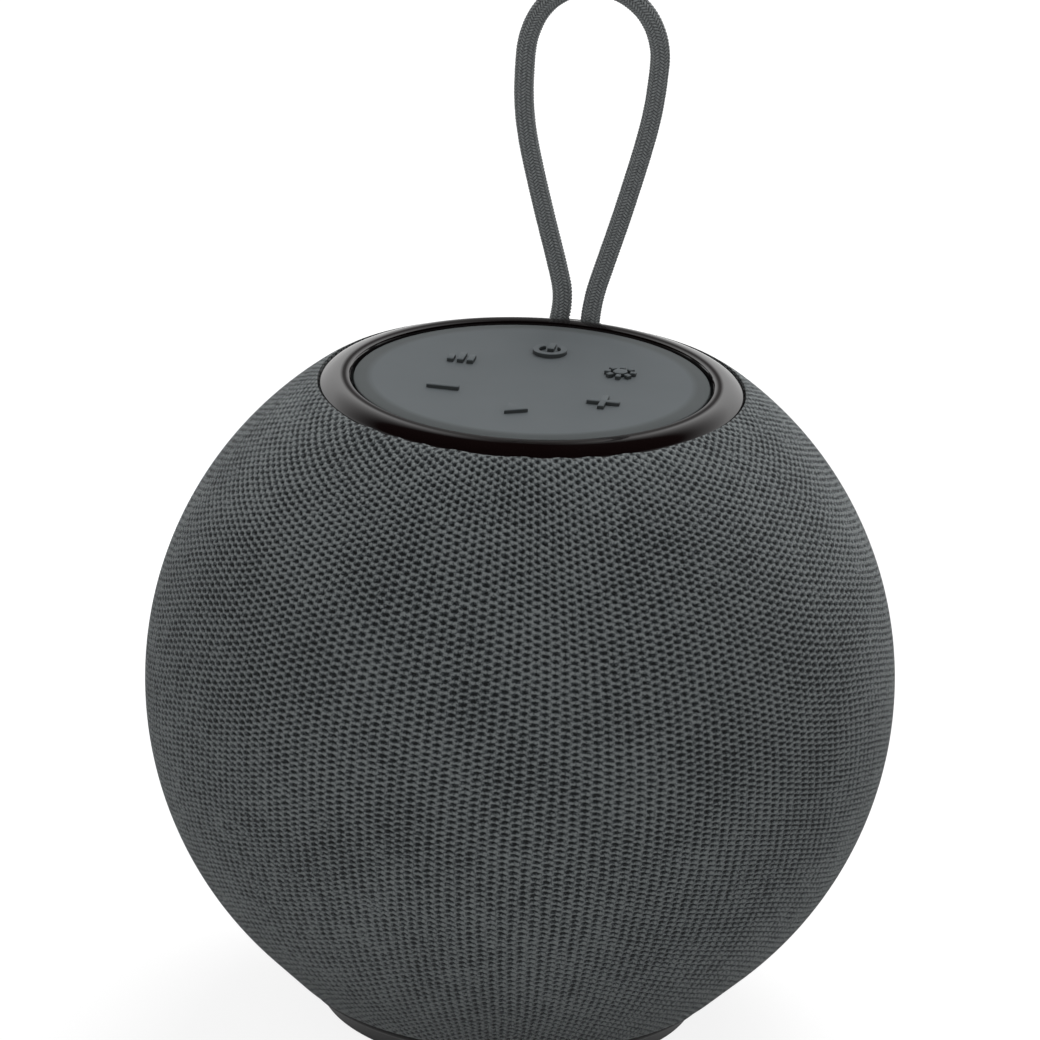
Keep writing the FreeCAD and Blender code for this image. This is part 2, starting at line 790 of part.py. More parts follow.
# Driver: built facing +Z, with levels along its axis from the ball's centre
driver_front = DRIVER_SEAT - DRIVER_GASKET
driver_back = driver_front - DRIVER_FLANGE_THICK
former_outer = COIL_RADIUS + FORMER_THICK
winding_outer = former_outer + WINDING_THICK
roll_centre = CONE_RADIUS + ROLL_RADIUS
neck_level = driver_front - CONE_DEPTH
spider_level = driver_front - SPIDER_DEPTH
basket_low = driver_front - BASKET_DEPTH
plate_low = basket_low - TOP_PLATE_THICK
magnet_low = plate_low - MAGNET_THICK
yoke_low = magnet_low - YOKE_THICK
former_low = neck_level - FORMER_LENGTH


def half_roll(inner_lip, centre, radius, thick, level, outer_lip):
    """Rubber ring with a half round roll between two flat lips."""
    outer = radius + thick / 2
    inner = radius - thick / 2
    return turned(
        (centre - radius - inner_lip, level),
        (centre - inner, level),
        ((centre, level + inner), (centre + inner, level)),
        (centre + radius + outer_lip, level),
        (centre + radius + outer_lip, level + thick),
        (centre + outer, level + thick),
        ((centre, level + outer), (centre - outer, level + thick)),
        (centre - radius - inner_lip, level + thick),
    )


def driver_surround():
    return to_front(half_roll(ROLL_LIP, roll_centre, ROLL_RADIUS, ROLL_THICK, driver_front, ROLL_LIP))


def driver_gasket():
    pad = ring(DRIVER_OPENING, DRIVER_FLANGE, driver_front, DRIVER_SEAT)
    holes = [post(screw_hole, driver_front - 1, DRIVER_SEAT + 1, *place) for place in driver_screw_places()]
    return to_front(without(pad, *holes))


def driver_basket():
    inner = roll_centre + ROLL_RADIUS - ROLL_THICK
    shelf = spider_level - SPIDER_THICK / 2
    sheet = BASKET_SHEET
    body = turned(
        (DRIVER_FLANGE, driver_front),
        (inner, driver_front),
        (inner, driver_back),
        (SPIDER_RADIUS + FIT_GAP, shelf),
        (SPIDER_RADIUS - 2 * sheet, shelf),
        (SPIDER_RADIUS - 2 * sheet, basket_low + sheet),
        (winding_outer + COIL_GAP, basket_low + sheet),
        (winding_outer + COIL_GAP, basket_low),
        (SPIDER_RADIUS - sheet, basket_low),
        (SPIDER_RADIUS - sheet, shelf - sheet),
        (SPIDER_RADIUS + FIT_GAP + 0.7 * sheet, shelf - sheet),
        (inner + sheet, driver_back),
        (DRIVER_FLANGE, driver_back),
    )
    half = WINDOW_WIDTH / 2
    window = block(
        (-half, half), (SPIDER_RADIUS - sheet, FAR), (shelf + 2 * sheet, driver_back - 2 * sheet)
    )
    holes = [post(screw_hole, driver_back - 1, driver_front + 1, *place) for place in driver_screw_places()]
    return to_front(without(body, *around(window, (0, 90, 180, 270)), *holes))


def driver_screws():
    part = screw(DRIVER_FLANGE_THICK + DRIVER_GASKET + DRIVER_SCREW_BITE - TIP_ROOM)
    return group([to_front(moved(part, x, y, driver_back)) for x, y in driver_screw_places()])


def driver_cone():
    body = turned(
        (former_outer + THREAD_ROOM, neck_level),
        (former_outer + THREAD_ROOM, neck_level - CONE_THICK),
        (former_outer + 2 * CONE_THICK, neck_level - CONE_THICK),
        (CONE_RADIUS - ROLL_LIP, driver_front - 2 * CONE_THICK),
        (CONE_RADIUS, driver_front - CONE_THICK),
        (CONE_RADIUS, driver_front),
        (CONE_RADIUS - ROLL_LIP, driver_front),
    )
    return to_front(body)


def driver_dust_cap():
    rim = former_outer + 2 * CONE_THICK
    slope = (driver_front - neck_level) / (CONE_RADIUS - ROLL_LIP - former_outer)
    level = neck_level + slope * (rim - former_outer) + FIT_GAP / 2
    inner = rim - CONE_THICK
    inner_rise = DUST_CAP_RISE - CONE_THICK
    body = turned(
        (0, level + DUST_CAP_RISE),
        ((rim / 2, level + cap_height(rim, DUST_CAP_RISE)), (rim, level)),
        (inner, level),
        ((inner / 2, level + cap_height(inner, inner_rise)), (0, level + inner_rise)),
    )
    return to_front(body)


def coil_former():
    return to_front(ring(COIL_RADIUS, former_outer, former_low, neck_level))


def voice_coil():
    return to_front(ring(former_outer, winding_outer, former_low, former_low + WINDING_LENGTH))


def driver_spider():
    inner = former_outer + PLUNGER_GAP
    wave = (SPIDER_RADIUS - inner) / 6
    low = [(inner + step * wave, spider_level - SPIDER_THICK / 2 + SPIDER_WAVE * (step % 2))
           for step in range(6)]
    low += [(SPIDER_RADIUS, spider_level - SPIDER_THICK / 2)]
    high = [(x, z + SPIDER_THICK) for x, z in reversed(low)]
    return to_front(turned(*low, *high))


def driver_top_plate():
    return to_front(ring(winding_outer + COIL_GAP, TOP_PLATE_RADIUS, plate_low, basket_low))


def driver_magnet():
    return to_front(ring(winding_outer + 4 * COIL_GAP, MAGNET_RADIUS, magnet_low, plate_low))


def driver_yoke():
    plate = post(TOP_PLATE_RADIUS, yoke_low, magnet_low)
    pole = post(COIL_RADIUS - COIL_GAP, yoke_low, basket_low)
    return to_front(joined(plate, pole))


# Passive radiator: a weighted plate on a rubber roll, built facing +Z
radiator_low = RADIATOR_SEAT - RADIATOR_FRAME_THICK
radiator_roll_centre = RADIATOR_PLATE + RADIATOR_ROLL


def radiator_frame():
    inner = radiator_roll_centre + RADIATOR_ROLL
    holes = [
        post(screw_hole, radiator_low - 1, RADIATOR_SEAT + 1, *place)
        for place in radiator_screw_places()
    ]
    return to_rear(without(ring(inner, RADIATOR_FLANGE, radiator_low, RADIATOR_SEAT), *holes))


def radiator_surround():
    outer_lip = RADIATOR_OPENING - FIT_GAP - radiator_roll_centre - RADIATOR_ROLL
    roll = half_roll(
        ROLL_LIP, radiator_roll_centre, RADIATOR_ROLL, ROLL_THICK, RADIATOR_SEAT, outer_lip
    )
    return to_rear(roll)


def radiator_plate():
    low = RADIATOR_SEAT - RADIATOR_PLATE_THICK
    disc = post(RADIATOR_PLATE, low, RADIATOR_SEAT)
    weight = post(RADIATOR_WEIGHT, low - RADIATOR_WEIGHT_THICK, low)
    return to_rear(joined(disc, weight))


def radiator_screws():
    part = screw(RADIATOR_FRAME_THICK + RADIATOR_SCREW_BITE - TIP_ROOM)
    return group([to_rear(moved(part, x, y, radiator_low)) for x, y in radiator_screw_places()])


# Charging port: a pocketed insert, a socket and its small board on two ribs
port_back = PORT_SEAT - PORT_FLANGE_THICK
port_floor = port_back + PORT_FLOOR
port_board_top = -PORT_DROP - SOCKET_HEIGHT / 2
port_board_low = port_board_top - PORT_BOARD_THICK
socket_front = port_floor - FIT_GAP
port_board_back = port_back - FIT_GAP


def port_panel():
    bar = slot(PORT_HALF_LENGTH, PORT_HALF_HEIGHT, port_back, FAR, y=PORT_DROP)
    flange = slot(
        PORT_HALF_LENGTH + PORT_FLANGE, PORT_HALF_HEIGHT + PORT_FLANGE, port_back, PORT_SEAT, y=PORT_DROP
    )
    pocket = slot(
        PORT_HALF_LENGTH - PORT_END_WALL, PORT_HALF_HEIGHT - PORT_WALL, port_floor, FAR, y=PORT_DROP
    )
    mouth = slot(
        SOCKET_WIDTH / 2 + SOCKET_ROOM, SOCKET_HEIGHT / 2 + SOCKET_ROOM, 0, FAR, y=PORT_DROP
    )
    panel = to_rear(bar).common(Part.makeSphere(BODY_RADIUS))
    return without(joined(panel, to_rear(flange)), to_rear(pocket), to_rear(mouth))


def usb_socket():
    back = socket_front - SOCKET_LENGTH
    shell = slot(SOCKET_WIDTH / 2, SOCKET_HEIGHT / 2, back, socket_front, y=PORT_DROP)
    room = slot(
        SOCKET_WIDTH / 2 - SOCKET_WALL, SOCKET_HEIGHT / 2 - SOCKET_WALL, back + 4 * SOCKET_WALL, FAR,
        y=PORT_DROP,
    )
    tongue = slot(
        SOCKET_WIDTH / 2 - 4 * SOCKET_WALL, SOCKET_WALL, back, socket_front - 3 * SOCKET_WALL, y=PORT_DROP
    )
    return to_rear(joined(without(shell, room), tongue))


def port_rib_reach():
    return PORT_BOARD_WIDTH / 2 - PORT_RIB / 2


def port_ribs():
    """Two ribs on the lower ledge that carry the port board."""
    near = port_board_back - PORT_BOARD_LENGTH
    half = PORT_RIB / 2
    return [
        block((x - half, x + half), (near, near + PORT_RIB_LENGTH), (shell_low, port_board_low))
        for x in (port_rib_reach(), -port_rib_reach())
    ]


def port_board_screw_places():
    y = port_board_back - PORT_BOARD_LENGTH + 2 * SCREW_HEAD
    return [(port_rib_reach(), y), (-port_rib_reach(), y)]


def port_board():
    half = PORT_BOARD_WIDTH / 2
    board = block(
        (-half, half),
        (port_board_back - PORT_BOARD_LENGTH, port_board_back),
        (port_board_low, port_board_top),
    )
    holes = [post(screw_hole, port_board_low - 1, port_board_top + 1, *place)
             for place in port_board_screw_places()]
    return without(board, *holes)


def port_board_screws():
    part = screw(PORT_BOARD_THICK + PORT_SCREW_BITE - FIT_GAP)
    part.rotate(ORIGIN, AXIS_X, 180)
    return group([moved(part, x, y, port_board_top) for x, y in port_board_screw_places()])


# Main board on four standoffs, with what is soldered to it
def main_board():
    half_x = MAIN_BOARD_WIDTH / 2
    half_y = MAIN_BOARD_LENGTH / 2
    board = block((-half_x, half_x), (-half_y, half_y), (main_board_low, main_board_top))
    holes = [
        post(screw_hole, main_board_low - 1, main_board_top + 1, *place) for place in standoff_places()
    ]
    return without(board, *holes)


def main_board_screws():
    part = screw(BOARD_THICK + MAIN_BOARD_RISE - THREAD_END)
    part.rotate(ORIGIN, AXIS_X, 180)
    return group([moved(part, x, y, main_board_top) for x, y in standoff_places()])


def on_board(x, y, width, length, height):
    return block(
        (x - width / 2, x + width / 2),
        (y - length / 2, y + length / 2),
        (main_board_top, main_board_top + height),
    )


board_right = MAIN_BOARD_WIDTH / 2
board_rear = MAIN_BOARD_LENGTH / 2


def radio_module():
    place = (RADIO_LEFT - board_right, board_rear - RADIO_REAR)
    return on_board(*place, RADIO_WIDTH, RADIO_LENGTH, RADIO_HEIGHT)


def amplifier_chip():
    place = (board_right - CHIP_RIGHT, CHIP_FRONT - board_rear)
    return on_board(*place, CHIP_SIDE, CHIP_SIDE, CHIP_HEIGHT)


def power_inductors():
    y = INDUCTOR_FRONT - board_rear
    places = [INDUCTOR_LEFT - board_right + step * INDUCTOR_PITCH for step in range(2)]
    return group([on_board(x, y, INDUCTOR_SIDE, INDUCTOR_SIDE, INDUCTOR_HEIGHT) for x in places])


def filter_capacitors():
    x = board_right - CAPACITOR_RIGHT
    high = main_board_top + CAPACITOR_HEIGHT
    places = [CAPACITOR_FRONT - board_rear + step * CAPACITOR_PITCH for step in range(2)]
    return group([post(CAPACITOR_RADIUS, main_board_top, high, x, y) for y in places])


def board_connectors():
    x = board_right - CHIP_RIGHT
    rear = on_board(x, board_rear - CONNECTOR_INSET, CONNECTOR_LONG, CONNECTOR_DEPTH, CONNECTOR_HEIGHT)
    front = on_board(x, CONNECTOR_INSET - board_rear, CONNECTOR_SHORT, CONNECTOR_DEPTH, CONNECTOR_HEIGHT)
    left = on_board(CONNECTOR_INSET - board_right, 0, CONNECTOR_DEPTH, CONNECTOR_LONG, CONNECTOR_HEIGHT)
    return group([rear, left, front])


# Battery: a round cell in a trough that stands on two pins
cradle_low = base_ledge_top + CRADLE_RISE
cell_level = cradle_low + CRADLE_FLOOR + CELL_ROOM + CELL_RADIUS


def along_x(radius, half_length):
    body = Part.makeCylinder(
        radius, 2 * half_length, FreeCAD.Vector(-half_length, CELL_SETBACK, cell_level), AXIS_X
    )
    return body


def battery_cell():
    can = along_x(CELL_RADIUS, CELL_LENGTH / 2)
    button = Part.makeCylinder(
        CELL_RADIUS / 3, CELL_ROOM, FreeCAD.Vector(CELL_LENGTH / 2, CELL_SETBACK, cell_level), AXIS_X
    )
    return joined(can, button)


def battery_cradle():
    half_y = CELL_RADIUS + CELL_ROOM + CRADLE_WALL
    half_x = CELL_LENGTH / 2 + 2 * CELL_ROOM + CRADLE_WALL
    trough = block(
        (-half_x, half_x), (CELL_SETBACK - half_y, CELL_SETBACK + half_y), (cradle_low, cell_level)
    )
    holes = [
        post(CRADLE_PIN + SCREW_ROOM, cradle_low - 1, cell_level, sx * CRADLE_POST, CELL_SETBACK)
        for sx in (1, -1)
    ]
    return without(trough, along_x(CELL_RADIUS + CELL_ROOM, CELL_LENGTH / 2 + 2 * CELL_ROOM), *holes)


def battery_strap():
    inner = CELL_RADIUS + CELL_ROOM
    band = without(along_x(inner + STRAP_THICK, STRAP_WIDTH / 2), along_x(inner, STRAP_WIDTH))
    return band.common(block((-FAR, FAR), (-FAR, FAR), (cell_level, FAR)))


NODES = {
    "fabric_sleeve": fabric_sleeve,
    "front_shell": front_shell,
    "rear_shell": rear_shell,
    "shell_screws": shell_screws,
    "top_bezel": top_bezel,
    "bezel_screws": bezel_screws,
    "control_pad": control_pad,
    "pad_plate": pad_plate,
    "control_board": control_board,
    "control_board_screws": control_board_screws,
    "switch_bodies": switch_bodies,
    "lanyard_block": lanyard_block,
    "lanyard_cord": lanyard_cord,
    "base_cup": base_cup,
    "base_screws": base_screws,
    "foot_ring": foot_ring,
    "driver_basket": driver_basket,
    "driver_gasket": driver_gasket,
    "driver_screws": driver_screws,
    "driver_surround": driver_surround,
    "driver_cone": driver_cone,
    "driver_dust_cap": driver_dust_cap,
    "coil_former": coil_former,
    "voice_coil": voice_coil,
    "driver_spider": driver_spider,
    "driver_top_plate": driver_top_plate,
    "driver_magnet": driver_magnet,
    "driver_yoke": driver_yoke,
    "radiator_frame": radiator_frame,
    "radiator_surround": radiator_surround,
    "radiator_plate": radiator_plate,
    "radiator_screws": radiator_screws,
    "port_panel": port_panel,
    "usb_socket": usb_socket,
    "port_board": port_board,
    "port_board_screws": port_board_screws,
    "main_board": main_board,
    "main_board_screws": main_board_screws,
    "radio_module": radio_module,
    "amplifier_chip": amplifier_chip,
    "power_inductors": power_inductors,
    "filter_capacitors": filter_capacitors,
    "board_connectors": board_connectors,
    "battery_cell": battery_cell,
    "battery_cradle": battery_cradle,
    "battery_strap": battery_strap,
}


def write(name, shape):
    solids = shape.Solids
    lifted = solids[0].copy() if len(solids) == 1 else Part.makeCompound(solids)
    lifted.translate(FreeCAD.Vector(0, 0, CENTRE_HEIGHT))
    lifted.exportStep("parts/" + name + ".step")
    print(name, len(solids), "solid", "ok" if lifted.isValid() else "NOT VALID", round(lifted.Volume, 1))


os.makedirs("parts", exist_ok=True)
for name, make in NODES.items():
    write(name, make())
for key, angle in KEY_ANGLES.items():
    write(key + "_plunger", plunger(angle))
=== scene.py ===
# %% [markdown]
# # Dressing a pod speaker
# The solids of the speaker come in as a fixed frame, in metres. This lesson gives them the looks of the
# real thing: a braided loop, a knitted sleeve, a gloss ring, a soft key pad and a satin cup.

# %% Load the frame
import json
import math

import bmesh
import bpy
import numpy as np
from mathutils import Matrix, Vector
from mathutils.kdtree import KDTree


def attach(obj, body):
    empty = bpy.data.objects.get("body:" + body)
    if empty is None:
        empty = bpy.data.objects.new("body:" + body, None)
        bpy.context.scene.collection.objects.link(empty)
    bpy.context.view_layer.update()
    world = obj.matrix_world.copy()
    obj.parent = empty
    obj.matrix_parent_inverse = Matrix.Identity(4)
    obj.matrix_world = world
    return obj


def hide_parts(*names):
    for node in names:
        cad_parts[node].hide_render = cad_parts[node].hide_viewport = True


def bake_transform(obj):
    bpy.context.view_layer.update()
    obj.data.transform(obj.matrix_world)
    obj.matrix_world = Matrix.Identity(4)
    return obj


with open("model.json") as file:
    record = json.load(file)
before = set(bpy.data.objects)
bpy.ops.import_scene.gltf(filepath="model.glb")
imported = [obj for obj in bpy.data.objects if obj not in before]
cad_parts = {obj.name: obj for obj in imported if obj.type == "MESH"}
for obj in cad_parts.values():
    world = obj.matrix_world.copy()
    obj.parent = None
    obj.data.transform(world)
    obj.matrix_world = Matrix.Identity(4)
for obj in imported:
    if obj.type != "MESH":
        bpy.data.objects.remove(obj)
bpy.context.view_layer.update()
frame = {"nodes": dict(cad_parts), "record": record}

scene = bpy.context.scene
scene.view_settings.view_transform = "Standard"
MM = 0.001

# %% [markdown]
# ## Camera
# The photograph was taken from a little above and a little to the right, with a slight roll. A long lens
# about a metre away gives the same flat perspective. The camera first looks at the ball's centre, then rolls,
# then tips up, so that the ball sits low in the frame. No lens shift is needed.

# %% Camera
FRAME_PX = 1040
FOCAL_PX = 6226
DROP_PX = 156.7
BALL_CENTRE = Vector((0, 0, 56)) * MM
AZIMUTH = math.radians(10.4)
ELEVATION = math.radians(21.52)
ROLL = math.radians(2.32)
CAMERA_DISTANCE = 1.0

towards = Vector((
    math.sin(AZIMUTH) * math.cos(ELEVATION),
    -math.cos(AZIMUTH) * math.cos(ELEVATION),
    math.sin(ELEVATION),
))
lens = bpy.data.cameras.new("camera")
lens.sensor_width = 36
lens.lens = FOCAL_PX / FRAME_PX * lens.sensor_width
camera = bpy.data.objects.new("camera", lens)
camera.matrix_world = (
    Matrix.Translation(BALL_CENTRE + towards * CAMERA_DISTANCE)
    @ (-towards).to_track_quat("-Z", "Y").to_matrix().to_4x4()
    @ Matrix.Rotation(ROLL, 4, "Z")
    @ Matrix.Rotation(math.atan(DROP_PX / FOCAL_PX), 4, "X")
)
scene.collection.objects.link(camera)
scene.camera = camera
print("camera lens", round(lens.lens, 1), "mm")

# %% [markdown]
# ## Small tools
# Colours are written as they look on a screen, and one function turns them into the linear values that
# shaders use. One function adds a shader node: its settings, its inputs, which are numbers or links, and the
# stops of a colour ramp.

# %% Colour and node helpers
def linear(code):
    """Linear red, green, blue and alpha of a colour written as hex."""
    parts = [int(code[i:i + 2], 16) / 255 for i in (1, 3, 5)]
    return (*[p / 12.92 if p <= 0.04045 else ((p + 0.055) / 1.055) ** 2.4 for p in parts], 1.0)


def add(tree, kind, inputs=None, stops=(), **settings):
    """Adds a node; an input is a number, a colour or another node's output, a stop is a place and a hex."""
    made = tree.nodes.new("ShaderNode" + kind)
    for key, value in settings.items():
        setattr(made, key, value)
    for key, value in (inputs or {}).items():
        if isinstance(value, bpy.types.NodeSocket):
            tree.links.new(value, made.inputs[key])
        else:
            made.inputs[key].default_value = value
    for number, (place, code) in enumerate(stops):
        if number == len(made.color_ramp.elements):
            made.color_ramp.elements.new(place)
        made.color_ramp.elements[number].position = place
        made.color_ramp.elements[number].color = linear(code)
    return made


def material(name, **constants):
    """A new material, its node tree and its main shader with constant sockets set."""
    made = bpy.data.materials.new(name)
    made.use_nodes = True
    shader = made.node_tree.nodes["Principled BSDF"]
    for key, value in constants.items():
        shader.inputs[key.replace("_", " ")].default_value = value
    return made, made.node_tree, shader


print("grey 808080 is", round(linear("#808080")[0], 3), "in linear light")

# %% [markdown]
# ## Making pieces
# Most parts of the speaker are turned shapes: a line of corners is spun once round the upright axis.
# Smaller forms are cut away with a cutter and a Boolean modifier, whose result becomes the mesh.

# %% Shape helpers
def turned(corners, steps):
    """Spins (radius, height) corners in millimetres round the upright axis."""
    bm = bmesh.new()
    line = [bm.verts.new((r * MM, 0, z * MM)) for r, z in corners]
    edges = [bm.edges.new(pair) for pair in zip(line, line[1:])]
    bmesh.ops.spin(
        bm, geom=line + edges, axis=(0, 0, 1), cent=(0, 0, 0), angle=math.tau, steps=steps, use_merge=True
    )
    clean(bm)
    return bm


def clean(bm):
    """Joins corners that lie on each other and turns all faces outwards."""
    bmesh.ops.remove_doubles(bm, verts=bm.verts, dist=0.001 * MM)
    bmesh.ops.recalc_face_normals(bm, faces=bm.faces)


def soften(bm, radius, height, width):
    """Bevels the circular edge at a radius and height."""
    chosen = []
    for edge in bm.edges:
        spots = [(math.hypot(v.co.x, v.co.y) / MM, v.co.z / MM) for v in edge.verts]
        if all(abs(r - radius) < 0.01 and abs(z - height) < 0.01 for r, z in spots):
            chosen.append(edge)
    bmesh.ops.bevel(
        bm, geom=chosen, offset=width * MM, offset_type="OFFSET", affect="EDGES", segments=3,
        profile=0.5, material=-1,
    )


def arc(start, middle, end, count):
    """Points on the circle through three (radius, height) corners."""
    (ax, ay), (bx, by), (cx, cy) = start, middle, end
    d = 2 * (ax * (by - cy) + bx * (cy - ay) + cx * (ay - by))
    sa, sb, sc = ax * ax + ay * ay, bx * bx + by * by, cx * cx + cy * cy
    ox = (sa * (by - cy) + sb * (cy - ay) + sc * (ay - by)) / d
    oy = (sa * (cx - bx) + sb * (ax - cx) + sc * (bx - ax)) / d
    first, last = math.atan2(ay - oy, ax - ox), math.atan2(cy - oy, cx - ox)
    radius = math.hypot(ax - ox, ay - oy)
    return [
        (ox + radius * math.cos(a), oy + radius * math.sin(a)) for a in np.linspace(first, last, count)
    ]


def bar(half_length, half_height, depth, place):
    """Round-ended bar standing along Z, long along X, from its place upwards, in millimetres."""
    bm = bmesh.new()
    bmesh.ops.create_circle(bm, cap_ends=True, segments=64, radius=half_height * MM)
    bmesh.ops.rotate(bm, verts=bm.verts, cent=(0, 0, 0), matrix=Matrix.Rotation(math.pi / 64, 3, "Z"))
    for v in bm.verts:
        v.co.x += math.copysign(half_length - half_height, v.co.x) * MM
    raised = bmesh.ops.extrude_face_region(bm, geom=list(bm.faces), use_keep_orig=True)
    top = [v for v in raised["geom"] if isinstance(v, bmesh.types.BMVert)]
    bmesh.ops.translate(bm, verts=top, vec=(0, 0, depth * MM))
    bmesh.ops.translate(bm, verts=bm.verts, vec=Vector(place) * MM)
    bmesh.ops.recalc_face_normals(bm, faces=bm.faces)
    return bm


def to_mesh(name, bm):
    """A mesh made from a bmesh, which is freed."""
    mesh = bpy.data.meshes.new(name)
    bm.to_mesh(mesh)
    bm.free()
    return mesh


def cut(mesh, cutters):
    """Takes cutter shapes away from a mesh and returns the new mesh."""
    body = bpy.data.objects.new("body", mesh)
    tools = [bpy.data.objects.new("cutter", to_mesh("cutter", bm)) for bm in cutters]
    for item in (body, *tools):
        scene.collection.objects.link(item)
    for tool in tools:
        step = body.modifiers.new("cut", "BOOLEAN")
        step.operation = "DIFFERENCE"
        step.solver = "EXACT"
        step.object = tool
    made = bpy.data.meshes.new_from_object(body.evaluated_get(bpy.context.evaluated_depsgraph_get()))
    for item in (body, *tools):
        bpy.data.objects.remove(item)
    return made


def show(name, mesh, finishes, slot, *nodes, sharp=35, body="housing"):
    """Puts a finished mesh in the scene in place of CAD nodes, riding on its body if it is given one."""
    mesh.name = name
    mesh.shade_smooth()
    mesh.set_sharp_from_angle(angle=math.radians(sharp))
    numbers = [face.material_index for face in mesh.polygons]
    mesh.materials.clear()
    for finish in finishes:
        mesh.materials.append(finish)
    mesh.polygons.foreach_set("material_index", numbers)
    made = bpy.data.objects.new(name, mesh)
    scene.collection.objects.link(made)
    if body:
        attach(made, body)
    if nodes:
        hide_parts(*nodes)
    mesh.calc_loop_triangles()
    print(name, len(mesh.loop_triangles), "triangles")
    return made

# %% [markdown]
# ## Lanyard
# The loop is a round braid of 24 strands, twelve each way, that pass over two and under two. Its line is one
# NURBS spline that follows listed points. A texture on a tube could fake the braid, but strands that really
# cross give the herringbone its small shadows.

# %% Cord line
CORD_DIAMETER = 3.1
CORD_DEPTH = 35.95
ROUTE = [
    (-2.6, 104.41), (-1.7, 108.4), (-3.3, 114.6), (-5.3, 121.4), (-7.4, 129.0), (-9.0, 135.4),
    (-9.8, 140.9), (-9.9, 146.5), (-9.6, 152.4), (-7.0, 158.0), (-1.8, 161.4), (4.6, 161.4),
    (9.8, 158.0), (12.3, 152.4), (12.0, 146.5), (11.4, 141.1), (10.3, 135.8), (8.9, 130.2),
    (6.9, 122.6), (4.8, 115.4), (2.8, 108.4), (2.6, 104.41),
]
line = bpy.data.curves.new("lanyard_line", "CURVE")
line.dimensions = "3D"
line.resolution_u = 24
spline = line.splines.new("NURBS")
spline.points.add(len(ROUTE) - 1)
for point, (x, z) in zip(spline.points, ROUTE):
    point.co = (x * MM, CORD_DEPTH * MM, z * MM, 1)
spline.order_u = 3
spline.use_endpoint_u = True
guide = bpy.data.objects.new("lanyard_line", line)
scene.collection.objects.link(guide)
bpy.context.view_layer.update()
traced = bpy.data.meshes.new_from_object(guide.evaluated_get(bpy.context.evaluated_depsgraph_get()))
path = np.array([v.co for v in traced.vertices])
bpy.data.objects.remove(guide)
along = np.concatenate([[0], np.cumsum(np.linalg.norm(np.diff(path, axis=0), axis=1))])
cord_length = float(along[-1])
print("cord", round(cord_length / MM, 1), "mm long,", len(path), "points")

# %% [markdown]
# The finish is dyed polyester yarn: matt, with fine filaments. Noise of about a third of a millimetre breaks up
# each strand. Little light gets in between the strands, so an attribute of the mesh, which is 1 on their backs
# and 0 where they dive under their neighbours, darkens the valleys with painted shade.

# %% Braid finish
def braid_finish():
    # Braided polyester: matt grey backs of strands, with painted shade in the valleys between them
    made, tree, shader = material("braided_polyester", Roughness=0.85, Sheen_Weight=0.2, IOR=1.5)
    place = add(tree, "TexCoord").outputs["Object"]
    # Bundles of filaments are 0.35 mm wide, and the features of a noise about 1 / scale
    fibre = add(tree, "TexNoise", {"Vector": place, "Scale": 1 / (0.35 * MM), "Detail": 3.0})
    crown = add(tree, "Attribute", attribute_name="crown").outputs["Fac"]
    # About 0.18 in a valley and 0.95 on a back, roughened by the filaments; the valley end of the ramp is
    # painted shade
    level = add(tree, "Math", {0: crown, 1: 2.2, 2: fibre.outputs["Fac"]}, operation="MULTIPLY_ADD")
    level = add(tree, "Math", {0: level.outputs[0], 1: 0.35}, operation="MULTIPLY")
    colour = add(
        tree, "ValToRGB", {"Fac": level.outputs[0]},
        [(0.15, "#1f2122"), (0.5, "#5e6162"), (0.8, "#9fa3a4"), (1.0, "#b8bcbc")],
    )
    tree.links.new(colour.outputs["Color"], shader.inputs["Base Color"])
    bump = add(tree, "Bump", {"Height": fibre.outputs["Fac"], "Distance": 0.06 * MM, "Strength": 0.6})
    tree.links.new(bump.outputs["Normal"], shader.inputs["Normal"])
    return made


braid = braid_finish()
print("finish", braid.name)

# %% Braid strands
STRANDS_EACH_WAY = 12
LAY_LENGTH = 6.4        # one turn of a strand along the cord
STRAND_RADIUS = 0.22
WEAVE_RISE = 0.13       # how far a strand goes out over two and in under two
BRAID_PROUD = 0.12      # the strands' backs stand over the cord's nominal size
STEP = 0.25
CORE_CLEARANCE = 0.02   # the core stays this far inside the strands' middle line
mid_radius = CORD_DIAMETER / 2 + BRAID_PROUD - STRAND_RADIUS - WEAVE_RISE

count = int(cord_length / (STEP * MM)) + 1
s = np.linspace(0, cord_length, count)
centre = np.stack([np.interp(s, along, path[:, k]) for k in range(3)], axis=1)
tangent = np.gradient(centre, axis=0)
tangent /= np.linalg.norm(tangent, axis=1)[:, None]
across = np.tile((0.0, 1.0, 0.0), (count, 1))
beside = np.cross(tangent, across)
turns = s / (LAY_LENGTH * MM)

braid_curve = bpy.data.curves.new("lanyard_braid", "CURVE")
braid_curve.dimensions = "3D"
braid_curve.bevel_depth = STRAND_RADIUS * MM
braid_curve.bevel_resolution = 1
braid_curve.use_fill_caps = True
for way in (1, -1):
    for number in range(STRANDS_EACH_WAY):
        angle = math.tau * (way * turns + number / STRANDS_EACH_WAY)
        # Over two and under two: one wave for every four crossings
        phase = way * STRANDS_EACH_WAY / 2 * math.tau * turns
        wave = way * np.sin(phase + math.pi * number + math.pi / 4)
        radius = (mid_radius + WEAVE_RISE * wave) * MM
        points = centre + radius[:, None] * (
            np.cos(angle)[:, None] * across + np.sin(angle)[:, None] * beside
        )
        strand = braid_curve.splines.new("POLY")
        strand.points.add(count - 1)
        strand.points.foreach_set("co", np.c_[points, np.ones(count)].ravel())
core = braid_curve.splines.new("POLY")
core.points.add(len(path) - 1)
core.points.foreach_set("co", np.c_[path, np.ones(len(path))].ravel())
core.points.foreach_set("radius", np.full(len(path), (mid_radius - CORE_CLEARANCE) / STRAND_RADIUS))
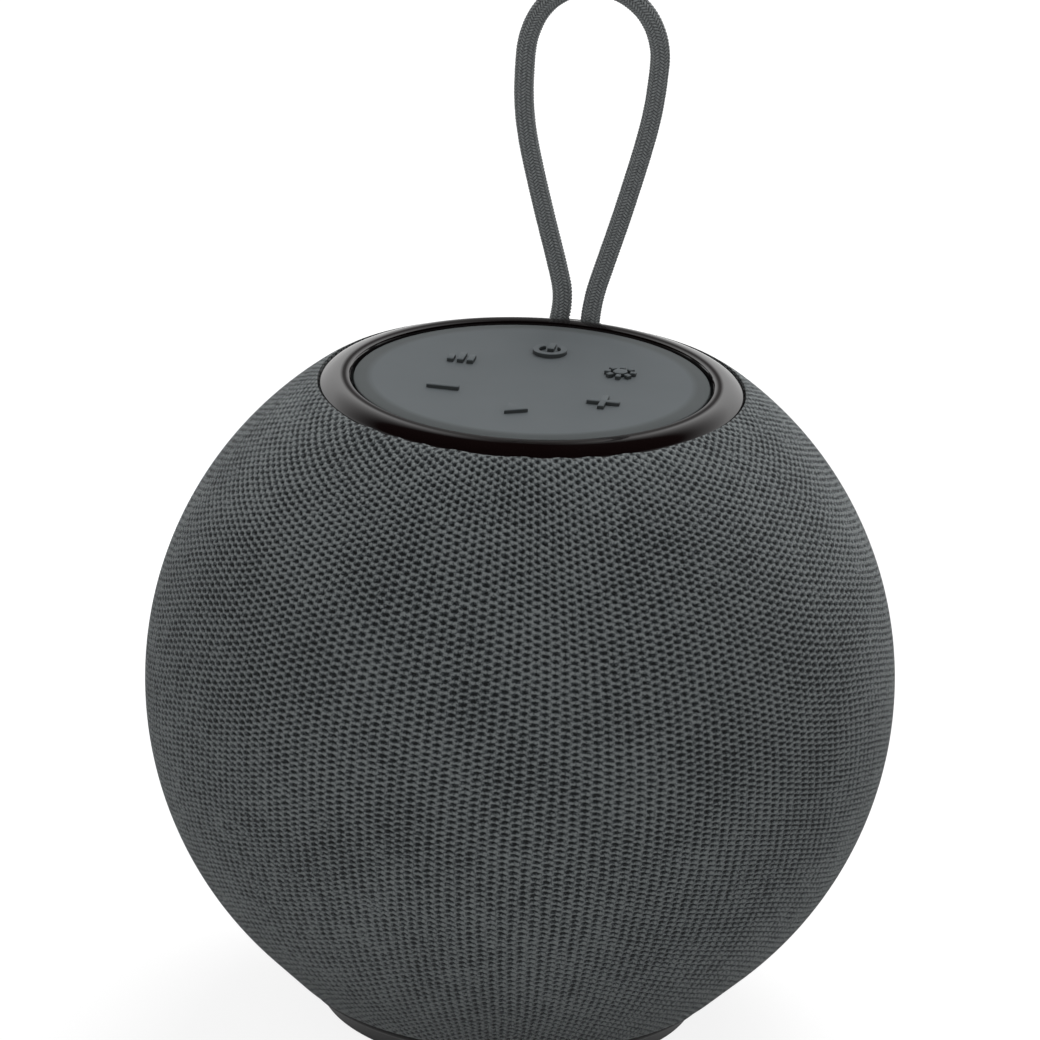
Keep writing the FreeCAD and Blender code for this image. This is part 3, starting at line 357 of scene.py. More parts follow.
holder = bpy.data.objects.new("braid", braid_curve)
scene.collection.objects.link(holder)
bpy.context.view_layer.update()
cord_mesh = bpy.data.meshes.new_from_object(holder.evaluated_get(bpy.context.evaluated_depsgraph_get()))
bpy.data.objects.remove(holder)
print(2 * STRANDS_EACH_WAY, "strands with their middle line at a radius of", round(mid_radius, 2), "mm")

# %% Backs of the braid, and painted shade in its valleys
# Below the strands' backs the braid is painted in shade, down to this depth
SHADED_VALLEY = 0.34           # how far below the backs it is dark
outer_radius = CORD_DIAMETER / 2 + BRAID_PROUD
tree_of_points = KDTree(count)
for number, point in enumerate(centre):
    tree_of_points.insert(point, number)
tree_of_points.balance()
off_line = np.array([tree_of_points.find(v.co)[2] for v in cord_mesh.vertices]) / MM
# 1 on the backs and 0 deep in the valleys: the attribute that paints shade there
crown = np.clip((off_line - outer_radius + SHADED_VALLEY) / SHADED_VALLEY, 0, 1)
cord_mesh.attributes.new("crown", "FLOAT", "POINT").data.foreach_set("value", crown)
lanyard = show("lanyard_braid", cord_mesh, [braid], "braided_cord", "lanyard_cord", sharp=80)

# %% [markdown]
# ## Knitted sleeve
# The sleeve is a knitted tube pulled over the ball. Its wales run like meridians, so they crowd towards the
# ring, and its courses lie closest just under the middle, where the ball is widest and the knit is pulled
# sideways. Holes stand in a staggered grid: every second wale is shifted by half a course. The band is spun
# with a corner at every half wale and half course, and the corners are then lifted or sunk, which gives the
# relief real depth. A texture alone would leave a smooth outline.

# %% Sleeve finish
def knit_finish():
    # Knitted polyester: matt yarn round holes painted dark, with a soft sheen at grazing angles
    made, tree, shader = material("knitted_polyester", Roughness=0.9, Sheen_Weight=0.2, IOR=1.5)

    place = add(tree, "TexCoord").outputs["Object"]
    # Stitches differ in size, so the grid is nudged by a noise as wide as two stitches
    nudge = add(tree, "TexNoise", {"Vector": place, "Scale": 1 / (2.4 * MM), "Detail": 1.0}).outputs["Color"]
    nudge = add(tree, "VectorMath", {0: nudge, 1: (0.5, 0.5, 0.5)}, operation="SUBTRACT").outputs[0]
    grid = add(tree, "UVMap", uv_map="stitches").outputs["UV"]
    grid = add(
        tree, "VectorMath", {0: nudge, 1: (0.5, 0.42, 0.0), 2: grid}, operation="MULTIPLY_ADD"
    ).outputs[0]
    grid = add(tree, "SeparateXYZ", {"Vector": grid}).outputs
    # The wave across the wales is 1 or -1 in the columns of holes and 0 between them
    across = add(tree, "Math", {0: grid["X"], 1: math.pi}, operation="MULTIPLY").outputs[0]
    wale = add(tree, "Math", {0: across}, operation="COSINE").outputs[0]
    column = add(tree, "Math", {0: wale}, operation="ABSOLUTE").outputs[0]
    upward = add(tree, "Math", {0: grid["Y"], 1: math.tau}, operation="MULTIPLY").outputs[0]
    course = add(tree, "Math", {0: upward}, operation="COSINE").outputs[0]
    # 1 in the middle of a hole and -1 on the yarn between two holes of a column
    stitch = add(tree, "Math", {0: wale, 1: course}, operation="MULTIPLY").outputs[0]
    hole = add(tree, "Math", {0: stitch, 1: column}, operation="ADD").outputs[0]
    hole = add(tree, "Math", {0: hole, 1: 0.5}, operation="MULTIPLY").outputs[0]
    hole = add(tree, "Math", {0: hole, 1: 1.2}, operation="POWER").outputs[0]
    # Each loop gets a painted highlight on both sides of that yarn
    leg_highlight = add(tree, "Math", {0: across}, operation="SINE").outputs[0]
    leg_highlight = add(tree, "Math", {0: leg_highlight}, operation="ABSOLUTE").outputs[0]
    yarn = add(tree, "Math", {0: stitch, 1: -2.0}, operation="MULTIPLY").outputs[0]
    yarn = add(tree, "Math", {0: yarn, 1: 0.0}, operation="MAXIMUM").outputs[0]
    leg_highlight = add(tree, "Math", {0: leg_highlight, 1: yarn}, operation="MULTIPLY").outputs[0]
    # Filaments of 0.3 mm, and patches of a centimetre or two that are knitted tighter or looser
    fibre = add(tree, "TexNoise", {"Vector": place, "Scale": 1 / (0.3 * MM), "Detail": 3.0}).outputs["Fac"]
    patch = add(tree, "TexNoise", {"Vector": place, "Scale": 1 / (14 * MM), "Detail": 2.0}).outputs["Fac"]
    # The sum is brought to about 0 on the brightest loops and 1 in the holes
    depth = add(tree, "Math", {0: fibre, 1: 2.0, 2: hole}, operation="MULTIPLY_ADD").outputs[0]
    # The painted highlights lighten the yarn beside each hole
    depth = add(tree, "Math", {0: leg_highlight, 1: -0.5, 2: depth}, operation="MULTIPLY_ADD").outputs[0]
    depth = add(tree, "Math", {0: patch, 1: 0.5, 2: depth}, operation="MULTIPLY_ADD").outputs[0]
    depth = add(tree, "Math", {0: depth, 1: 0.74, 2: -0.68}, operation="MULTIPLY_ADD").outputs[0]
    # The dark end of the ramp is the black shell seen through the holes, with painted shade in them
    colour = add(
        tree, "ValToRGB", {"Fac": depth},
        [(0.0, "#a1a7a8"), (0.25, "#7f8586"), (0.5, "#52575a"), (0.75, "#2d3133"), (1.0, "#141718")],
    )
    tree.links.new(colour.outputs["Color"], shader.inputs["Base Color"])
    bump = add(tree, "Bump", {"Height": depth, "Distance": 0.3 * MM, "Strength": 0.6}, invert=True)
    tree.links.new(bump.outputs["Normal"], shader.inputs["Normal"])
    return made


knit = knit_finish()
print("finish", knit.name)

# %% Sleeve courses
BALL_RADIUS = 60.0
SLEEVE_THICK = 1.2
WALES = 228
# Distance between courses in millimetres, by latitude on the ball in degrees
COURSE_PITCH = {
    -58: 1.75, -50: 1.70, -38: 1.37, -30: 1.15, -23: 1.01, -15: 0.94, -8: 0.91,
    6: 0.98, 18: 1.09, 30: 1.15, 41: 1.24, 49: 1.36, 56: 1.50,
}
TUCK_RADIUS = 33.9
HEM_LOW = 6.5
FLARE_LATITUDE = -45.0
BALL_STEPS = 1500
FLARE_STEPS = 150
centre_height = BALL_CENTRE.z / MM


def on_ball(radius, angle):
    """The (radius, height) corner at a latitude of a ball."""
    return radius * math.cos(angle), centre_height + radius * math.sin(angle)


def flared(radius, level):
    """Where the straight flare below the ball reaches a level."""
    r, z = on_ball(radius, math.radians(FLARE_LATITUDE))
    return r - (z - level) * math.tan(math.radians(-FLARE_LATITUDE)), level


top_latitude = math.acos(TUCK_RADIUS / BALL_RADIUS)
latitudes = np.linspace(top_latitude, math.radians(FLARE_LATITUDE), BALL_STEPS)
skin = [on_ball(BALL_RADIUS, a) for a in latitudes]
flare_end = np.array(flared(BALL_RADIUS, HEM_LOW))
skin = np.concatenate([skin, np.linspace(skin[-1], flare_end, FLARE_STEPS)[1:]])
steps = np.linalg.norm(np.diff(skin, axis=0), axis=1)
skin_latitude = np.degrees(np.arctan2(skin[1:, 1] - centre_height, skin[1:, 0]))
pitch = np.interp(skin_latitude, list(COURSE_PITCH), list(COURSE_PITCH.values()))
counted = np.concatenate([[0], np.cumsum(steps / pitch)])
courses = round(counted[-1])
half_courses = np.arange(2 * courses + 1) / 2
counted *= courses / counted[-1]
band = np.stack([np.interp(half_courses, counted, skin[:, k]) for k in (0, 1)], axis=1)
print(WALES, "wales and", courses, "courses")

# %% Sleeve band
HEM_INNER = 30.8
HEM_HIGH = HEM_LOW + SLEEVE_THICK
TUCK_END = 101.41
inner_radius = BALL_RADIUS - SLEEVE_THICK
inner_top = math.acos((TUCK_RADIUS + SLEEVE_THICK) / inner_radius)
inside = [
    on_ball(inner_radius, a) for a in np.linspace(math.radians(FLARE_LATITUDE), inner_top, 8)
]
tuck = [(TUCK_RADIUS, TUCK_END), (TUCK_RADIUS - 0.1, 104.6), (TUCK_RADIUS - 0.08, 105.2)]
hem = [(HEM_INNER, HEM_LOW), (HEM_INNER, HEM_HIGH), flared(inner_radius, HEM_HIGH)]
profile = [*tuck, *band, *hem, *inside, (TUCK_RADIUS + SLEEVE_THICK, TUCK_END), tuck[0]]
sleeve_mesh = to_mesh("sleeve", turned(profile, steps=2 * WALES))

points = np.zeros(len(sleeve_mesh.vertices) * 3)
sleeve_mesh.vertices.foreach_get("co", points)
points = points.reshape(-1, 3)
reach = np.hypot(points[:, 0], points[:, 1]) / MM
height = points[:, 2] / MM
turn = np.arctan2(points[:, 1], points[:, 0])
vertex_course = np.interp(-height, -band[:, 1], half_courses)
vertex_wale = np.mod(turn / math.tau * WALES, WALES)
print("sleeve starts with", len(points), "corners")

# %% [markdown]
# The sleeve's front was pulled up a little further than its sides before the ring closed over it, so its
# courses rise there and run out under the ring. Corners slide along the sleeve's own line, up into the tuck.

# %% Sleeve pull
PULL = 3.2
PULL_WIDTH = 21.0       # degrees to either side of the front
PULL_FADE = (25.0, 75.0)        # below the ring, measured along the sleeve
SAME_PLACE = 0.002
line_of_sleeve = np.array([*tuck, *band])
run = np.linalg.norm(np.diff(line_of_sleeve, axis=0), axis=1)
run = np.concatenate([[0], np.cumsum(run)])
edge_run = run[len(tuck)]
vertex_run = np.full(len(points), -1.0)
for (r, z), place in zip(line_of_sleeve, run):
    vertex_run[(np.abs(reach - r) < SAME_PLACE) & (np.abs(height - z) < SAME_PLACE)] = place
on_line = vertex_run >= 0
from_front = np.degrees(np.angle(np.exp(1j * (turn + math.pi / 2))))
fading = [0, edge_run, edge_run + PULL_FADE[0], edge_run + PULL_FADE[1]]
pull = PULL * np.exp(-((from_front / PULL_WIDTH) ** 2) / 2)
pull *= np.interp(vertex_run, fading, [0, 1, 1, 0])
slid = vertex_run - pull
reach = np.where(on_line, np.interp(slid, run, line_of_sleeve[:, 0]), reach)
height = np.where(on_line, np.interp(slid, run, line_of_sleeve[:, 1]), height)
points = np.stack([reach * np.cos(turn), reach * np.sin(turn), height], axis=1) * MM
on_band = on_line & (slid > edge_run)
print("front of the sleeve pulled up by", round(float(pull.max()), 1), "mm")

# %% [markdown]
# Now corners in the middle of the stitches sink and the rest rise a little. The relief fades at both edges.

# %% Sleeve relief
HOLE_DEPTH = 0.5
LOOP_RISE = 0.1
hole = np.cos(math.pi * vertex_wale) * np.cos(math.tau * vertex_course) > 0.5
from_edge = np.minimum(band[0, 1] - height, height - HEM_LOW)
lift = np.where(hole, -HOLE_DEPTH, LOOP_RISE) * np.clip(from_edge, 0, 1) * MM
out = points - np.array(BALL_CENTRE)
out /= np.linalg.norm(out, axis=1)[:, None]
points += out * np.where(on_band, lift, 0.0)[:, None]
print(int(np.sum(hole & on_band)), "corners sunk by", HOLE_DEPTH, "mm")

# %% [markdown]
# A sleeve that was pulled on by hand is never quite straight. Its stitches are shifted sideways and upwards by
# up to 0.6 mm in long waves round the ball, and not at all at its two edges.

# %% Sleeve waviness
SHIFT = 0.35
SHIFT_FADE = 12
fade = np.clip(from_edge / SHIFT_FADE, 0, 1) * SHIFT * MM
climb = height / BALL_RADIUS
# Two waves each way, with lengths and phases that don't match
sideways = np.sin(4 * turn + 5 * climb + 0.7) + 0.6 * np.sin(9 * turn - 4 * climb + 2.1)
upwards = np.sin(5 * turn - 6 * climb + 1.9) + 0.6 * np.sin(11 * turn + 3 * climb + 0.4)
east = np.stack([-np.sin(turn), np.cos(turn), np.zeros(len(turn))], axis=1)
north = np.cross(out, east)
drift = east * (sideways * fade)[:, None] + north * (upwards * fade)[:, None]
points += np.where(on_band[:, None], drift, 0.0)
sleeve_mesh.vertices.foreach_set("co", points.ravel())
print("stitches shifted by up to", round(float(np.abs(drift).max() / MM), 2), "mm")

# %% [markdown]
# The pattern follows the knit, so it needs a UV map that counts wales one way and courses the other. A face
# on the seam gets wale numbers past the last one instead of jumping back to zero.

# %% Sleeve UV map and openings
loops = np.zeros(len(sleeve_mesh.loops), dtype=np.int64)
sleeve_mesh.loops.foreach_get("vertex_index", loops)
corner_wale = vertex_wale[loops].reshape(-1, 4)
on_seam = np.ptp(corner_wale, axis=1) > WALES / 2
corner_wale[on_seam[:, None] & (corner_wale < WALES / 2)] += WALES
stitches = sleeve_mesh.uv_layers.new(name="stitches")
stitches.data.foreach_set("uv", np.c_[corner_wale.ravel(), vertex_course[loops]].ravel())

# Half length, half height and depth
LANYARD_OPENING = (4.95, 2.35, 12)
PORT_OPENING = (12.3, 4.5, 40)
PORT_HEIGHT = 22.6
lanyard_opening = bar(*LANYARD_OPENING, (0, CORD_DEPTH, 98))
# The bar for the port is laid down to point to the back
port_opening = bar(*PORT_OPENING, (0, -PORT_HEIGHT, 30))
bmesh.ops.rotate(
    port_opening, verts=port_opening.verts, cent=(0, 0, 0), matrix=Matrix.Rotation(-math.pi / 2, 3, "X")
)
sleeve_mesh = cut(sleeve_mesh, [lanyard_opening, port_opening])
sleeve = show("knitted_sleeve", sleeve_mesh, [knit], "knit_fabric", "fabric_sleeve", sharp=80)

# %% [markdown]
# ## Gloss ring
# The ring is piano black ABS, moulded against a polished steel face. Nearly all that the eye gets
# from it is reflection, so its crown needs many fine segments and its inner edge a small round that catches
# a bright line.

# %% Ring finish
def gloss_finish():
    # Polished black ABS: a near-black mirror, so the eye sees the room in it
    made, tree, shader = material("polished_black_abs", IOR=1.7)
    shader.inputs["Base Color"].default_value = linear("#140b0b")
    place = add(tree, "TexCoord").outputs["Object"]
    # Faint handling marks a few millimetres across change only the gloss
    marks = add(tree, "TexNoise", {"Vector": place, "Scale": 1 / (4 * MM), "Detail": 4.0})
    rough = add(tree, "MapRange", {"Value": marks.outputs["Fac"], "To Min": 0.05, "To Max": 0.1})
    tree.links.new(rough.outputs["Result"], shader.inputs["Roughness"])
    return made


gloss = gloss_finish()
print("finish", gloss.name)

# %% Ring
LEDGE_TOP = 101.11
RING_OUTER = 33.6
RING_WINDOW = 28.65
RING_SKIRT = 30.6
RING_LIP = 103.91
NOTCH_SIZE = (9.9, 10, 3.6)
outer_round = arc((RING_OUTER, 104.95), (33.56, 105.18), (33.42, 105.37), 6)
crown = arc((33.42, 105.37), (31.41, 106.44), (28.9, 106.55), 28)
inner_round = arc((28.9, 106.55), (28.723, 106.477), (RING_WINDOW, 106.3), 8)
ring_line = [(RING_OUTER, LEDGE_TOP), *outer_round, *crown[1:], *inner_round[1:], (RING_WINDOW, RING_LIP),
             (RING_SKIRT, RING_LIP), (RING_SKIRT, LEDGE_TOP), (RING_OUTER, LEDGE_TOP)]
ring_bm = turned(ring_line, steps=320)
# The lanyard's block sits in a notch at the back
notch = bmesh.new()
bmesh.ops.create_cube(notch, size=1.0)
bmesh.ops.scale(notch, verts=notch.verts, vec=Vector(NOTCH_SIZE) * MM)
bmesh.ops.translate(notch, verts=notch.verts, vec=Vector((0, 34, LEDGE_TOP)) * MM)
ring_mesh = cut(to_mesh("ring", ring_bm), [notch])
show("gloss_ring", ring_mesh, [gloss], "gloss_bezel", "top_bezel")

# %% [markdown]
# ## Key pad
# One silicone moulding carries six raised marks. Silicone has a soft, dry look, so its roughness is high and a
# fine mould texture of tenths of a millimetre breaks the light. Its land round the dish is a shade
# darker. The marks are the pad's own silicone, and their flanks are darker still with painted shade.
# The land's tone comes in softly with the distance from the middle, and the flanks have a finish of their own.

# %% Pad finish
PAD_RIM = 25.6


def silicone_finish(name, middle, land=None):
    # Moulded silicone: a dry grey surface with one broad dull highlight
    made, tree, shader = material(name, IOR=1.43)
    place = add(tree, "TexCoord").outputs["Object"]
    shader.inputs["Base Color"].default_value = linear(middle)
    if land:
        flat = add(tree, "VectorMath", {0: place, 1: (1, 1, 0)}, operation="MULTIPLY").outputs[0]
        radius = add(tree, "VectorMath", {0: flat}, operation="LENGTH").outputs["Value"]
        # The land's tone comes in over 1.2 mm
        outer = add(
            tree, "MapRange",
            {"Value": radius, "From Min": (PAD_RIM - 0.5) * MM, "From Max": (PAD_RIM + 0.7) * MM},
        )
        colour = add(tree, "ValToRGB", {"Fac": outer.outputs["Result"]}, [(0.0, middle), (1.0, land)])
        tree.links.new(colour.outputs["Color"], shader.inputs["Base Color"])
    # Wear in patches of 9 mm changes the gloss a little
    wear = add(tree, "TexNoise", {"Vector": place, "Scale": 1 / (9 * MM), "Detail": 2.0})
    rough = add(tree, "MapRange", {"Value": wear.outputs["Fac"], "To Min": 0.55, "To Max": 0.68})
    tree.links.new(rough.outputs["Result"], shader.inputs["Roughness"])
    # Spark-eroded mould texture with a grit of 0.12 mm
    grit = add(tree, "TexNoise", {"Vector": place, "Scale": 1 / (0.12 * MM), "Detail": 2.0})
    bump = add(tree, "Bump", {"Height": grit.outputs["Fac"], "Distance": 0.01 * MM, "Strength": 0.5})
    tree.links.new(bump.outputs["Normal"], shader.inputs["Normal"])
    return made


silicone = silicone_finish("moulded_silicone", "#6f7578", "#5e6364")
# The flanks' dark grey is painted shade on the marks' upright sides
shaded_flank_silicone = silicone_finish("silicone_flank_painted_shade", "#393d3e")
print("finishes", silicone.name, shaded_flank_silicone.name)

# %% Pad body
PAD_RADIUS = 28.2
PAD_RIM_TOP = 106.36
PAD_MIDDLE = 106.01
PAD_EDGE = 106.2
PAD_FLANGE = 30.3
FLANGE_TOP = 103.61
FLANGE_LOW = 102.61
PAD_CAVITY = 26.8
CAVITY_TOP = 104.61
dish_radius = (PAD_RIM**2 + (PAD_RIM_TOP - PAD_MIDDLE) ** 2) / (2 * (PAD_RIM_TOP - PAD_MIDDLE))


def pad_height(radius):
    """Height of the dished middle at a distance from the axis."""
    return PAD_MIDDLE + dish_radius - math.sqrt(dish_radius**2 - radius**2)


dish = [(r, pad_height(r)) for r in np.linspace(0, PAD_RIM, 12)]
pad_line = [*dish, (PAD_RADIUS, PAD_EDGE), (PAD_RADIUS, FLANGE_TOP), (PAD_FLANGE, FLANGE_TOP),
            (PAD_FLANGE, FLANGE_LOW), (PAD_CAVITY, FLANGE_LOW), (PAD_CAVITY, CAVITY_TOP), (0, CAVITY_TOP)]
pad_bm = turned(pad_line, steps=192)
soften(pad_bm, PAD_RIM, PAD_RIM_TOP, 0.5)
soften(pad_bm, PAD_RADIUS, PAD_EDGE, 0.25)
print("pad", 2 * PAD_RADIUS, "mm across, dished to a radius of", round(dish_radius), "mm")

# %% [markdown]
# The marks are flat outlines, raised like the real ones and softened at the top. Each stands upright to a
# reader in front. They go a little into the pad, because they are one moulding with it.

# %% Key marks
KEY_CIRCLE = 14.8
MARK_RISE = 0.65
MARK_SINK = 0.3
STROKE = 1.0
MARK_ROUND = 0.14


def outline(bm, corners):
    """A flat face through (x, y) corners in millimetres."""
    return bm.faces.new([bm.verts.new((x * MM, y * MM, 0)) for x, y in corners])


def stroke(bm, width, height, x=0.0, y=0.0, turn=0.0):
    """A flat bar about (x, y), turned about the mark's own centre."""
    w, h = width / 2, height / 2
    face = outline(bm, [(x - w, y - h), (x + w, y - h), (x + w, y + h), (x - w, y + h)])
    bmesh.ops.rotate(
        bm, verts=face.verts, cent=(0, 0, 0), matrix=Matrix.Rotation(math.radians(turn), 3, "Z")
    )


def power_mark(bm):
    # An open ring is a short bar spun about the mark's centre, and a bar stands in its gap
    outer, start, sweep = 2.75, math.radians(122), math.radians(296)
    ends = [bm.verts.new((r * MM, 0, 0)) for r in (outer - STROKE, outer)]
    edge = bm.edges.new(ends)
    bmesh.ops.rotate(bm, verts=ends, cent=(0, 0, 0), matrix=Matrix.Rotation(start, 3, "Z"))
    bmesh.ops.spin(bm, geom=[*ends, edge], axis=(0, 0, 1), cent=(0, 0, 0), angle=sweep, steps=36)
    stroke(bm, STROKE, 2.7, y=1.75)


def light_mark(bm):
    # A disc with eight rays
    bmesh.ops.create_circle(bm, cap_ends=True, segments=28, radius=1.15 * MM)
    for number in range(8):
        stroke(bm, 0.8, 0.95, y=2.05, turn=45 * number)


def plus_mark(bm):
    reach, half = 2.6, STROKE / 2
    outline(bm, [
        (-half, -reach), (half, -reach), (half, -half), (reach, -half), (reach, half), (half, half),
        (half, reach), (-half, reach), (-half, half), (-reach, half), (-reach, -half), (-half, -half),
    ])


def play_mark(bm):
    side = 3.9
    tall = side * math.sqrt(3) / 2
    outline(bm, [(-tall / 3, -side / 2), (2 * tall / 3, 0), (-tall / 3, side / 2)])


def minus_mark(bm):
    stroke(bm, 5.1, STROKE)


def mode_mark(bm):
    # Three plain bars on one base line, as on a sound level meter
    tallest = 3.6
    for x, tall in ((-1.6, 2.2), (0, tallest), (1.6, 2.8)):
        stroke(bm, STROKE, tall, x=x, y=(tall - tallest) / 2)


MARKS = {90: power_mark, 30: light_mark, 330: plus_mark, 270: play_mark, 210: minus_mark, 150: mode_mark}


def raised_mark(draw, angle):
    """Draws a flat mark, raises it, rounds its upper edge and sets it on the pad."""
    bm = bmesh.new()
    draw(bm)
    bmesh.ops.recalc_face_normals(bm, faces=bm.faces)
    lifted = bmesh.ops.extrude_face_region(bm, geom=list(bm.faces), use_keep_orig=True)["geom"]
    top = [item for item in lifted if isinstance(item, bmesh.types.BMVert)]
    bmesh.ops.translate(bm, verts=top, vec=(0, 0, (MARK_RISE + MARK_SINK) * MM))
    rim = [e for e in bm.edges if all(v in top for v in e.verts) and e.calc_face_angle(0) > 1]
    bmesh.ops.bevel(
        bm, geom=rim, offset=MARK_ROUND * MM, offset_type="OFFSET", affect="EDGES", segments=3,
        profile=0.5, material=-1,
    )
    spot = KEY_CIRCLE * math.cos(math.radians(angle)), KEY_CIRCLE * math.sin(math.radians(angle))
    low = pad_height(KEY_CIRCLE) - MARK_SINK
    bmesh.ops.translate(bm, verts=bm.verts, vec=Vector((*spot, low)) * MM)
    bmesh.ops.recalc_face_normals(bm, faces=bm.faces)
    # Upright faces are the mark's flanks, which take the painted shade
    for face in bm.faces:
        face.material_index = 1 if abs(face.normal.z) < 0.3 else 0
    return bm


def nub(angle):
    """The round post under a key that meets its switch."""
    bm = bmesh.new()
    radius, length, middle = 2.2, 3.8, 103.41
    bmesh.ops.create_cone(
        bm, cap_ends=True, segments=24, radius1=radius * MM, radius2=radius * MM, depth=length * MM
    )
    spot = KEY_CIRCLE * math.cos(math.radians(angle)), KEY_CIRCLE * math.sin(math.radians(angle))
    bmesh.ops.translate(bm, verts=bm.verts, vec=Vector((*spot, middle)) * MM)
    return bm


for angle, draw in MARKS.items():
    for extra in (raised_mark(draw, angle), nub(angle)):
        loose = to_mesh("mark", extra)
        pad_bm.from_mesh(loose)
        bpy.data.meshes.remove(loose)
show("key_pad", to_mesh("pad", pad_bm), [silicone, shaded_flank_silicone], "pad_silicone", "control_pad")

# %% [markdown]
# ## Base cup
# The cup is satin ABS with a fine moulded grain, which gives the eye a soft, even sheen. It is turned in one
# go, with a bead round its lip and a groove for the rubber foot.

# %% Cup
def moulded_finish(name, dark, light, roughness, grit, depth=0.012, gloss_index=1.5):
    """Moulded plastic or rubber: two close tones, and a grit in millimetres that dulls the highlight."""
    made, tree, shader = material(name, Roughness=roughness, IOR=gloss_index)
    place = add(tree, "TexCoord").outputs["Object"]
    grain = add(tree, "TexNoise", {"Vector": place, "Scale": 1 / (grit * MM), "Detail": 3.0})
    cloud = add(tree, "TexNoise", {"Vector": place, "Scale": 1 / (12 * MM), "Detail": 2.0})
    colour = add(tree, "ValToRGB", {"Fac": cloud.outputs["Fac"]}, [(0.3, dark), (0.7, light)])
    tree.links.new(colour.outputs["Color"], shader.inputs["Base Color"])
    bump = add(tree, "Bump", {"Height": grain.outputs["Fac"], "Distance": depth * MM, "Strength": 0.6})
    tree.links.new(bump.outputs["Normal"], shader.inputs["Normal"])
    return made


cup_finish = moulded_finish("satin_abs", "#131314", "#171718", 0.6, 0.2, gloss_index=1.32)
bead = arc((33.2, 4.7), (34.0, 5.5), (33.2, 6.3), 14)
edge = arc((29.8, 0.8), (30.366, 1.034), (30.6, 1.6), 7)
cup_line = [(0, 0.8), (20.2, 0.8), (20.2, 2.0), (28.8, 2.0), (28.8, 0.8), *edge, (32.7, 4.7), *bead,
            (30.5, 6.3), (30.5, 7.9), (27.9, 7.9), (27.9, 3.8), (0, 3.8)]
cup_bm = turned(cup_line, steps=256)
show("base_cup_satin", to_mesh("cup", cup_bm), [cup_finish], "base_plastic", "base_cup")

# %% [markdown]
# ## Finishes for the other solids
# The rest keeps its CAD form. Each material slot gets a finish of its own, most of them moulded, some metal,
# cloth or laminate.

# %% Finishes for metal, cloth, board and wire
def metal_finish(name, code, roughness, grain):
    """Plated or rolled metal: a mirror that fine grain blurs unevenly."""
    made, tree, shader = material(name, Metallic=1.0)
    shader.inputs["Base Color"].default_value = linear(code)
    place = add(tree, "TexCoord").outputs["Object"]
    fine = add(tree, "TexNoise", {"Vector": place, "Scale": 1 / (grain * MM), "Detail": 4.0})
    spread = add(
        tree, "MapRange",
        {"Value": fine.outputs["Fac"], "To Min": roughness - 0.08, "To Max": roughness + 0.12},
    )
    tree.links.new(spread.outputs["Result"], shader.inputs["Roughness"])
    return made


def banded_finish(name, dark, light, pitch, roughness, metallic=0.0, kind="RINGS", axis="Y"):
    """Wound wire, pressed cloth or paper: light and dark bands at a pitch in millimetres."""
    made, tree, shader = material(name, Roughness=roughness, Metallic=metallic)
    place = add(tree, "TexCoord").outputs["Object"]
    # A wave repeats every 0.314 units at scale 1
    bands = add(
        tree, "TexWave", {"Vector": place, "Scale": 0.314 / (pitch * MM), "Distortion": 0.4},
        wave_type=kind, bands_direction=axis, rings_direction=axis,
    )
    colour = add(tree, "ValToRGB", {"Fac": bands.outputs["Fac"]}, [(0.2, dark), (0.8, light)])
    tree.links.new(colour.outputs["Color"], shader.inputs["Base Color"])
    bump = add(tree, "Bump", {"Height": bands.outputs["Fac"], "Distance": 0.05 * MM, "Strength": 0.5})
    tree.links.new(bump.outputs["Normal"], shader.inputs["Normal"])
    return made


# Moulded: dark and light tone, roughness, grit and its depth. Metal: tone, roughness, grain.
# Banded: dark and light tone, pitch, roughness, share of metal, kind and axis of the bands
FINISHES = {
    "pad_silicone": silicone,
    "gloss_bezel": gloss,
    "braided_cord": braid,
    "base_plastic": cup_finish,
    "foot_rubber": moulded_finish("foot_rubber", "#1d1d1d", "#252525", 0.8, 0.3, 0.02),
    "shell_plastic": moulded_finish("moulded_abs", "#1b1c1d", "#222324", 0.5, 0.25),
    "painted_steel": moulded_finish("painted_steel", "#1f2022", "#27282a", 0.45, 0.4, 0.02),
    "component_black": moulded_finish("epoxy_moulding", "#17181a", "#202123", 0.55, 0.15),
    "connector_plastic": moulded_finish("nylon", "#d8d4c6", "#e2decf", 0.45, 0.3),
    "seal_foam": moulded_finish("closed_cell_foam", "#2a2a2b", "#38383a", 0.95, 0.5, 0.1),
    "surround_rubber": moulded_finish("butyl_rubber", "#161616", "#1d1d1d", 0.6, 0.4),
    "ferrite": moulded_finish("sintered_ferrite", "#303133", "#3c3d3f", 0.6, 0.2, 0.02),
    "cell_wrap": moulded_finish("shrink_wrap", "#2f5d86", "#35658f", 0.3, 2.0),
    "strap_plastic": moulded_finish("acetal", "#dcdcd8", "#e6e6e2", 0.4, 0.3),
    "plated_steel": metal_finish("nickel_plated_steel", "#b9b7b0", 0.25, 0.5),
    "coil_aluminium": metal_finish("rolled_aluminium", "#c9cacc", 0.3, 0.4),
    "coil_copper": banded_finish("enamelled_copper", "#7c3a18", "#c9773f", 0.2, 0.35, 0.8, "BANDS"),
    "cone_paper": banded_finish("pressed_paper", "#1c1c1c", "#2b2b2a", 1.2, 0.9),
    "spider_cloth": banded_finish("resin_cloth", "#a77b3a", "#c79a55", 0.5, 0.9),
    "board_laminate": banded_finish("solder_mask", "#0f3b24", "#1a5234", 0.8, 0.4, 0.0, "BANDS", "X"),
}
slots = {part["node"]: part["material_slot"] for part in frame["record"]["subparts"]}
for name, solid in frame["nodes"].items():
    finish = FINISHES.get(slots[name])
    if finish:
        solid.data.materials.clear()
        solid.data.materials.append(finish)
